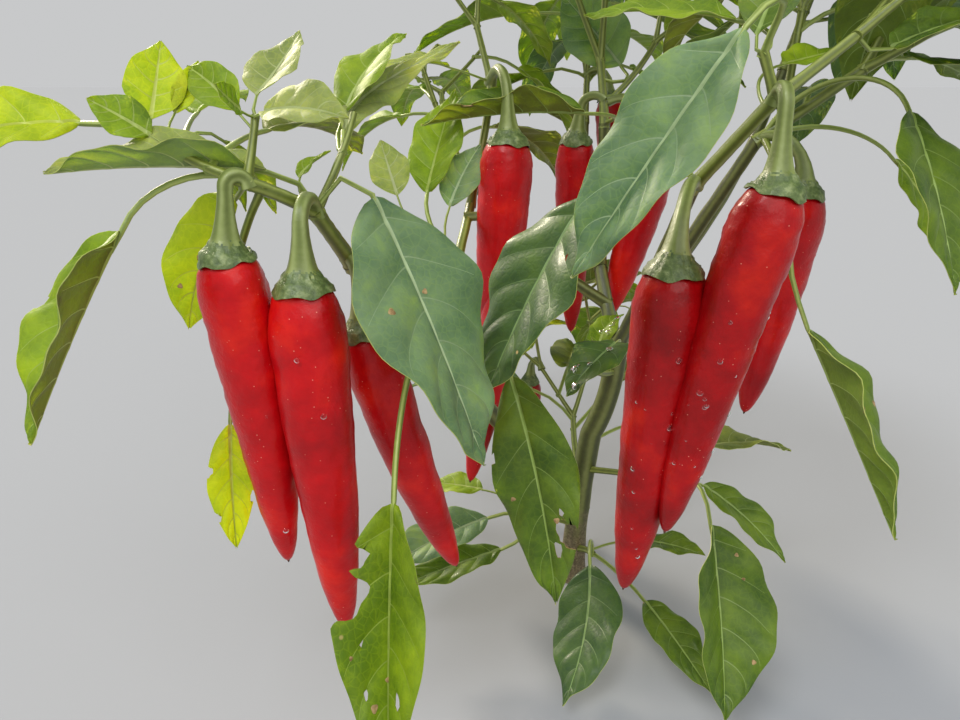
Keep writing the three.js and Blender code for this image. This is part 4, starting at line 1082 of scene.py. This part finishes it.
def leaf_finish(name, dark, light, rough, coat, spots):
    """Green blade tissue: tones that wander, up to yellow-green patches of painted sunlight, a net of fine
    veins, and now and then a tan speck.
    """
    material, shader = new_material(name, {
        "Roughness": rough, "Coat Weight": coat, "Specular IOR Level": 0.24,
        "Subsurface Weight": 0.45, "Subsurface Radius": (0.8, 1.0, 0.15), "Subsurface Scale": 0.0012})
    pattern = Pattern(material)
    # bright is a lighter yellow-green: the noise's high patches are painted sunlight falling through, and
    # the fine vein net takes it as well.
    bright = (1.45 * light[0], 1.35 * light[1], 0.8 * light[2])
    colour = pattern.ramp(pattern.noise(52, 4.0, 0.6), (0.36, dark), (0.58, light), (0.74, bright))
    net = pattern.cells(360, "DISTANCE_TO_EDGE")
    colour = pattern.mix(pattern.ramp(net, (0.0, 0.22), (0.10, 0.0)), colour, bright)
    if spots:
        colour = pattern.mix(pattern.specks(70, (0.03, 0.06), 22, (0.56, 0.60)), colour, SPECK_TONE)
    grain = pattern.math("MULTIPLY", pattern.noise(1500, 2.0), 0.25)
    relief = pattern.math("ADD", pattern.math("MINIMUM", net, 0.22), grain)
    pattern.finish(shader, colour, relief, 0.0004, 0.55)
    return material


def stem_finish(name, shaded_groove, side, ridge, ribs=5.0, corky=False):
    """Ribbed green stem skin: pale ridges, painted highlight, and darker grooves, painted shade, along it,
    and cork low down.
    """
    material, shader = new_material(name, {"Roughness": 0.5 if corky else 0.42, "Coat Weight": 0.08})
    pattern = Pattern(material)
    skin = pattern.step("UVMap", "UV", uv_map="skin")
    round_share = pattern.step("SeparateXYZ", "X", {"Vector": skin})
    wander = pattern.math("MULTIPLY", pattern.noise(60, 2.0), 0.9)
    turn = pattern.math("ADD", pattern.math("MULTIPLY", round_share, 2 * math.pi * ribs), wander)
    stripe = pattern.math("ADD", pattern.math("MULTIPLY", pattern.math("COSINE", turn), 0.24), 0.5)
    stripe = pattern.math("ADD", stripe, pattern.math("MULTIPLY", pattern.noise(420, 3.0), 0.28))
    # The pale ridges are a painted highlight and the dark grooves painted shade, lined up with the stem's
    # ribs.
    colour = pattern.ramp(stripe, (0.34, shaded_groove), (0.62, side), (0.92, ridge))
    if corky:
        height = pattern.step("SeparateXYZ", "Z", {"Vector": pattern.spot})
        low = pattern.math("MULTIPLY", pattern.math("SUBTRACT", CORK_TOP, height), 22.0)
        low = pattern.math("ADD", low, pattern.math("SUBTRACT", pattern.noise(260, 4.0), 0.5))
        cork = pattern.ramp(pattern.noise(800, 4.0), *zip((0.35, 0.7), CORK_TONES))
        colour = pattern.mix(pattern.ramp(low, (0.25, 0.0), (0.85, 1.0)), colour, cork)
    pattern.finish(shader, colour, pattern.noise(900, 4.0), 0.0002, 0.6)
    return material


def fruit_finish(name, *tones):
    """Waxy ripe skin: red that runs to orange-red in places, with fine pale specks."""
    material, shader = new_material(name, {
        "Roughness": 0.36, "Coat Weight": 0.18, "Coat Roughness": 0.16, "Specular IOR Level": 0.22,
        "Subsurface Weight": 0.28, "Subsurface Radius": (1.0, 0.15, 0.08), "Subsurface Scale": 0.004})
    pattern = Pattern(material)
    colour = pattern.ramp(pattern.noise(44, 4.0, 0.58), *zip((0.32, 0.54, 0.74), tones))
    colour = pattern.mix(pattern.specks(430, (0.04, 0.10), 75, (0.46, 0.52)), colour, FRUIT_SPECK_TONE)
    pattern.finish(shader, colour, pattern.noise(150, 5.0, 0.6), 0.0014, 0.55)
    return material


def calyx_finish(name, shaded_hollow, side, lit_crest):
    """The calyx's wrinkled skin: dull blue-green in the hollows, painted shade, and paler, yellower crests,
    painted highlight.
    """
    material, shader = new_material(name, {"Roughness": 0.45, "Coat Weight": 0.08})
    pattern = Pattern(material)
    height = pattern.noise(330, 4.0, 0.65)
    # The colour follows the relief's height: painted shade in the hollows and painted light on the crests.
    colour = pattern.ramp(height, (0.34, shaded_hollow), (0.52, side), (0.70, lit_crest))
    pattern.finish(shader, colour, height, 0.0009, 0.8)
    return material


def plain_finish(name, dark, light, scale, rough):
    """A small part's finish: two tones and a fine relief."""
    material, shader = new_material(name, {"Roughness": rough})
    pattern = Pattern(material)
    colour = pattern.ramp(pattern.noise(scale, 3.0), (0.35, dark), (0.68, light))
    pattern.finish(shader, colour, pattern.noise(scale * 4, 3.0), 0.0001, 0.7)
    return material


def dimmed(tone):
    return tuple(0.8 * value for value in tone)


materials = {
    # The blade's outer edge is paler: a painted sunlit rim.
    "leaf_rim": plain_finish("leaf margin", (0.34, 0.42, 0.08), (0.52, 0.56, 0.16), 300, 0.5),
    "petiole": stem_finish("leaf stalk skin", (0.16, 0.22, 0.035), (0.26, 0.34, 0.06), (0.42, 0.50, 0.14),
                           ribs=3.0),
    "twig": stem_finish("green shoot skin", (0.10, 0.13, 0.018), (0.18, 0.225, 0.03), (0.32, 0.37, 0.09)),
    "bark": stem_finish("stem bark", (0.045, 0.052, 0.011), (0.095, 0.112, 0.022), (0.20, 0.225, 0.065),
                        corky=True),
    "fruit_stalk": stem_finish("fruit stalk skin", (0.125, 0.165, 0.030), (0.19, 0.24, 0.055),
                               (0.30, 0.36, 0.12)),
    "calyx": calyx_finish("calyx skin", (0.060, 0.100, 0.026), (0.120, 0.175, 0.048), (0.27, 0.33, 0.13)),
    # The brighter skin is painted sunlight shining through; the deeper skin is the darker red.
    "bright_skin": fruit_finish("bright ripe skin", (0.38, 0.001, 0.004), (0.57, 0.002, 0.005),
                                (0.80, 0.018, 0.005)),
    "deep_skin": fruit_finish("deep ripe skin", (0.24, 0.001, 0.002), (0.42, 0.001, 0.003),
                              (0.66, 0.016, 0.003)),
    "scar": plain_finish("dry scar", (0.20, 0.11, 0.04), (0.48, 0.33, 0.15), 700, 0.8),
    "water": new_material("water drop", {
        "Roughness": 0.03, "Transmission Weight": 1.0, "IOR": 1.33,
        "Base Color": (0.97, 0.98, 0.98, 1)})[0],
    "fruit_tip": plain_finish("dried style", (0.05, 0.025, 0.01), (0.12, 0.06, 0.02), 900, 0.7),
    "petal": plain_finish("white petal", (0.62, 0.64, 0.52), (0.82, 0.83, 0.74), 500, 0.5),
}
for look, (dark, light, rib, under) in LEAF_TONES.items():
    rough, coat = (0.50, 0.06) if look in GLOSSY_LEAVES else (0.56, 0.0)
    vein = tuple(blend(light[index], rib[index], 0.35) for index in range(3))
    materials[look] = leaf_finish(look + " blade", dark, light, rough, coat, True)
    materials[look + "_under"] = leaf_finish(look + " underside", dimmed(under), under, 0.55, 0.0, False)
    for part, tone in (("rib", rib), ("vein", vein)):
        title = look + (" midrib" if part == "rib" else " vein")
        materials[look + "_" + part] = plain_finish(title, dimmed(tone), tone, 260, 0.45)

# How many side veins a blade has on each hand, columns on each hand, and rows between veins.
# A leaf that the photograph shows is small up to one length, and a grown one young below one.
FINENESS = {"shown": (6, 14, 6), "small": (5, 7, 3), "grown": (6, 5, 3), "young": (4, 3, 1)}
SMALL_BLADE = 44
YOUNG_BLADE = 36
GROWN_LOOKS = ("green", "fresh", "deep", "olive", "green", "dusty", "fresh")
# Young leaves take the lit look, painted sunlight, at this share.
YOUNG_LIT = 0.3

# Shoots whose ends are thinner than this may bear a bud, and some of the buds are open.
BUD_THICK = 2.6
BUD_SHARE, OPEN_SHARE = 0.30, 0.25
WIDE_TWIG = 2.2

# Where the seeds of the organs' looks and of the blades' shapes start.
LOOK_SEED, BLADE_SEED, DROP_SEED = 9000, 7000, 400

# The masses whose fruit get the brighter red skin, painted light of the low sun shining through them.
SUNLIT_FRUIT = ("left_front", "left_crown", "centre_crown", "right_crown")

# Where water beads still lie: the kind of organ, and how many beads on each of the first two.
DROPS = {"right_front": ("fruit", 16), "inner_front": ("leaf", 9), "left_front": ("fruit", 4)}
DROP_TALL = 0.55


def scatter_drops(heap, organ, count):
    """Beads of water over a fruit's front, or over a leaf's upper face."""
    draw = dice(DROP_SEED + organ["number"])
    for _ in range(count):
        radius = 0.45 + 0.95 * draw() ** 2
        if organ["kind"] == "fruit":
            share, turn = 0.08 + 0.8 * draw(), math.radians(-90 + 130 * (draw() - 0.5))
            place = organ["skin_axis"].at(share)
            out = np.array([math.cos(turn), math.sin(turn), 0.0])
            out -= place["along"] * (out @ place["along"])
            out /= np.linalg.norm(out)
            half = organ["wide"] / 2 * float(fruit_outline(share)) * 0.985
            add_bead(heap, place["point"] + out * half, out, radius, DROP_TALL, "water")
        else:
            share, hand = 0.25 + 0.6 * draw(), 1.4 * (draw() - 0.5)
            place = {key: value[0] for key, value in blade_frames(organ, np.array([share])).items()}
            fold = math.radians(organ["fold"])
            level = hand * organ["wide"] / 2 * float(leaf_outline(share))
            point = place["point"] + place["side"] * level * math.cos(fold)
            point = point + place["up"] * (abs(level) * math.sin(fold) * 0.95 + 0.5)
            add_bead(heap, point, place["up"], radius * 1.3, DROP_TALL, "water")


def add_twig(twigs, buds, organ, draw):
    thick = organ["thick"]
    sides, spacing = (12, 2.4) if thick[0] > WIDE_TWIG else (8, 3.2)
    stem_tube(twigs, organ["axis"], lambda share: blend(*thick, share) / 2, "twig",
              sides, spacing, organ["number"])
    if organ.get("ends") and draw() < BUD_SHARE and thick[0] < BUD_THICK:
        add_bud(buds, organ["axis"], draw, draw() < OPEN_SHARE)


def add_leaf(leaves, leaf, draw):
    if leaf.get("shown"):
        leaf["fineness"] = FINENESS["shown" if leaf["blade"] > SMALL_BLADE else "small"]
    else:
        young = leaf["blade"] < YOUNG_BLADE
        leaf["fineness"] = FINENESS["young" if young else "grown"]
        place = math.floor(len(GROWN_LOOKS) * draw())
        leaf["looks"] = ("lit" if draw() < YOUNG_LIT else "fresh") if young else GROWN_LOOKS[place]
    add_blade(leaves, leaf, BLADE_SEED + leaf["number"])
    add_petiole(leaves, leaf)


stems = Heap()
for name, limb in limbs.items():
    rooted = name == "main_stem"
    stem_tube(stems, limb["axis"], lambda share: limb_radius(limb, share), "bark",
              24, 2.0, limb["number"], ribs=0.05, rough=0.035,
              sink=0 if rooted else 1.5, knuckles=0.0 if rooted else 0.22)
make_piece("stem_and_boughs", stems, list(limbs))

drops = Heap()
for name, mass in masses.items():
    heaps = {kind: Heap() for kind in ("leaves", "twigs", "fruit", "fruit_stalks", "buds")}
    shown = {kind: [organ for organ in mass["organs"] if organ["kind"] == kind and organ.get("shown")]
             for kind in ("leaf", "fruit")}
    for index, leaf in enumerate(shown["leaf"]):
        leaf.update(MARKS.get((name, index), {}))
    for organ in mass["organs"]:
        draw = dice(LOOK_SEED + organ["number"])
        if organ["kind"] == "twig":
            add_twig(heaps["twigs"], heaps["buds"], organ, draw)
        elif organ["kind"] == "leaf":
            add_leaf(heaps["leaves"], organ, draw)
        else:
            look = "bright_skin" if name in SUNLIT_FRUIT else "deep_skin"
            add_fruit(heaps["fruit"], heaps["fruit_stalks"], organ, look)
    if name in DROPS:
        wet, count = DROPS[name]
        for organ in shown[wet][:2]:
            scatter_drops(drops, organ, count)
    for kind, heap in heaps.items():
        if heap.count:
            make_piece(name + "_" + kind, heap, [name + "_foliage"])

make_piece("water_drops", drops, [])

# A plain pale floor, whose tone in this light is that of the surroundings, and soft lights: a
# warm one from low behind on the left, as late in the day, and two that fill from the front.
bpy.ops.object.select_all(action="DESELECT")
bpy.ops.mesh.primitive_plane_add(size=120, location=(0, 0, 0))
floor = bpy.context.object
floor.name = "floor"
floor.data.materials.append(new_material("pale floor", {
    "Roughness": 0.9, "Specular IOR Level": 0.0, "Base Color": (0.350, 0.364, 0.387, 1)})[0])

scene = bpy.context.scene
world = bpy.data.worlds.new("soft surroundings")
world.use_nodes = True
background = world.node_tree.nodes["Background"].inputs
background["Color"].default_value = (0.93, 0.94, 0.95, 1)
background["Strength"].default_value = 0.62
scene.world = world
scene.view_settings.view_transform = "Standard"


def add_light(name, place, width, power, colour):
    """A far light that shines from a place towards the plant, as wide as an angle in degrees."""
    data = bpy.data.lights.new(name, "SUN")
    data.angle, data.energy, data.color = math.radians(width), power, colour
    light = bpy.data.objects.new(name, data)
    light.location = place
    light.rotation_euler = (math.acos(place[2] / np.linalg.norm(place)), 0,
                            math.atan2(place[1], place[0]) + math.pi / 2)
    bpy.context.collection.objects.link(light)


add_light("low_sun", (-1.15, 1.5, 0.95), 12, 3.3, (1.0, 0.88, 0.70))
add_light("soft_front", (0.5, -1.3, 1.3), 50, 1.0, (1.0, 0.98, 0.95))
add_light("soft_top", (-0.55, -0.75, 1.5), 24, 1.3, (0.96, 0.98, 1.0))

# The camera looks along +Y and down by PITCH, in degrees, from a place in metres.
PITCH = 21
CAMERA_PLACE = (-0.054, -0.350, 0.270)
lens = bpy.data.cameras.new("view")
lens.lens, lens.sensor_width, lens.sensor_fit = 27, 36, "HORIZONTAL"
lens.clip_start = 0.01
camera = bpy.data.objects.new("view", lens)
camera.location = CAMERA_PLACE
camera.rotation_euler = (math.radians(90 - PITCH), 0, 0)
bpy.context.collection.objects.link(camera)
scene.camera = camera
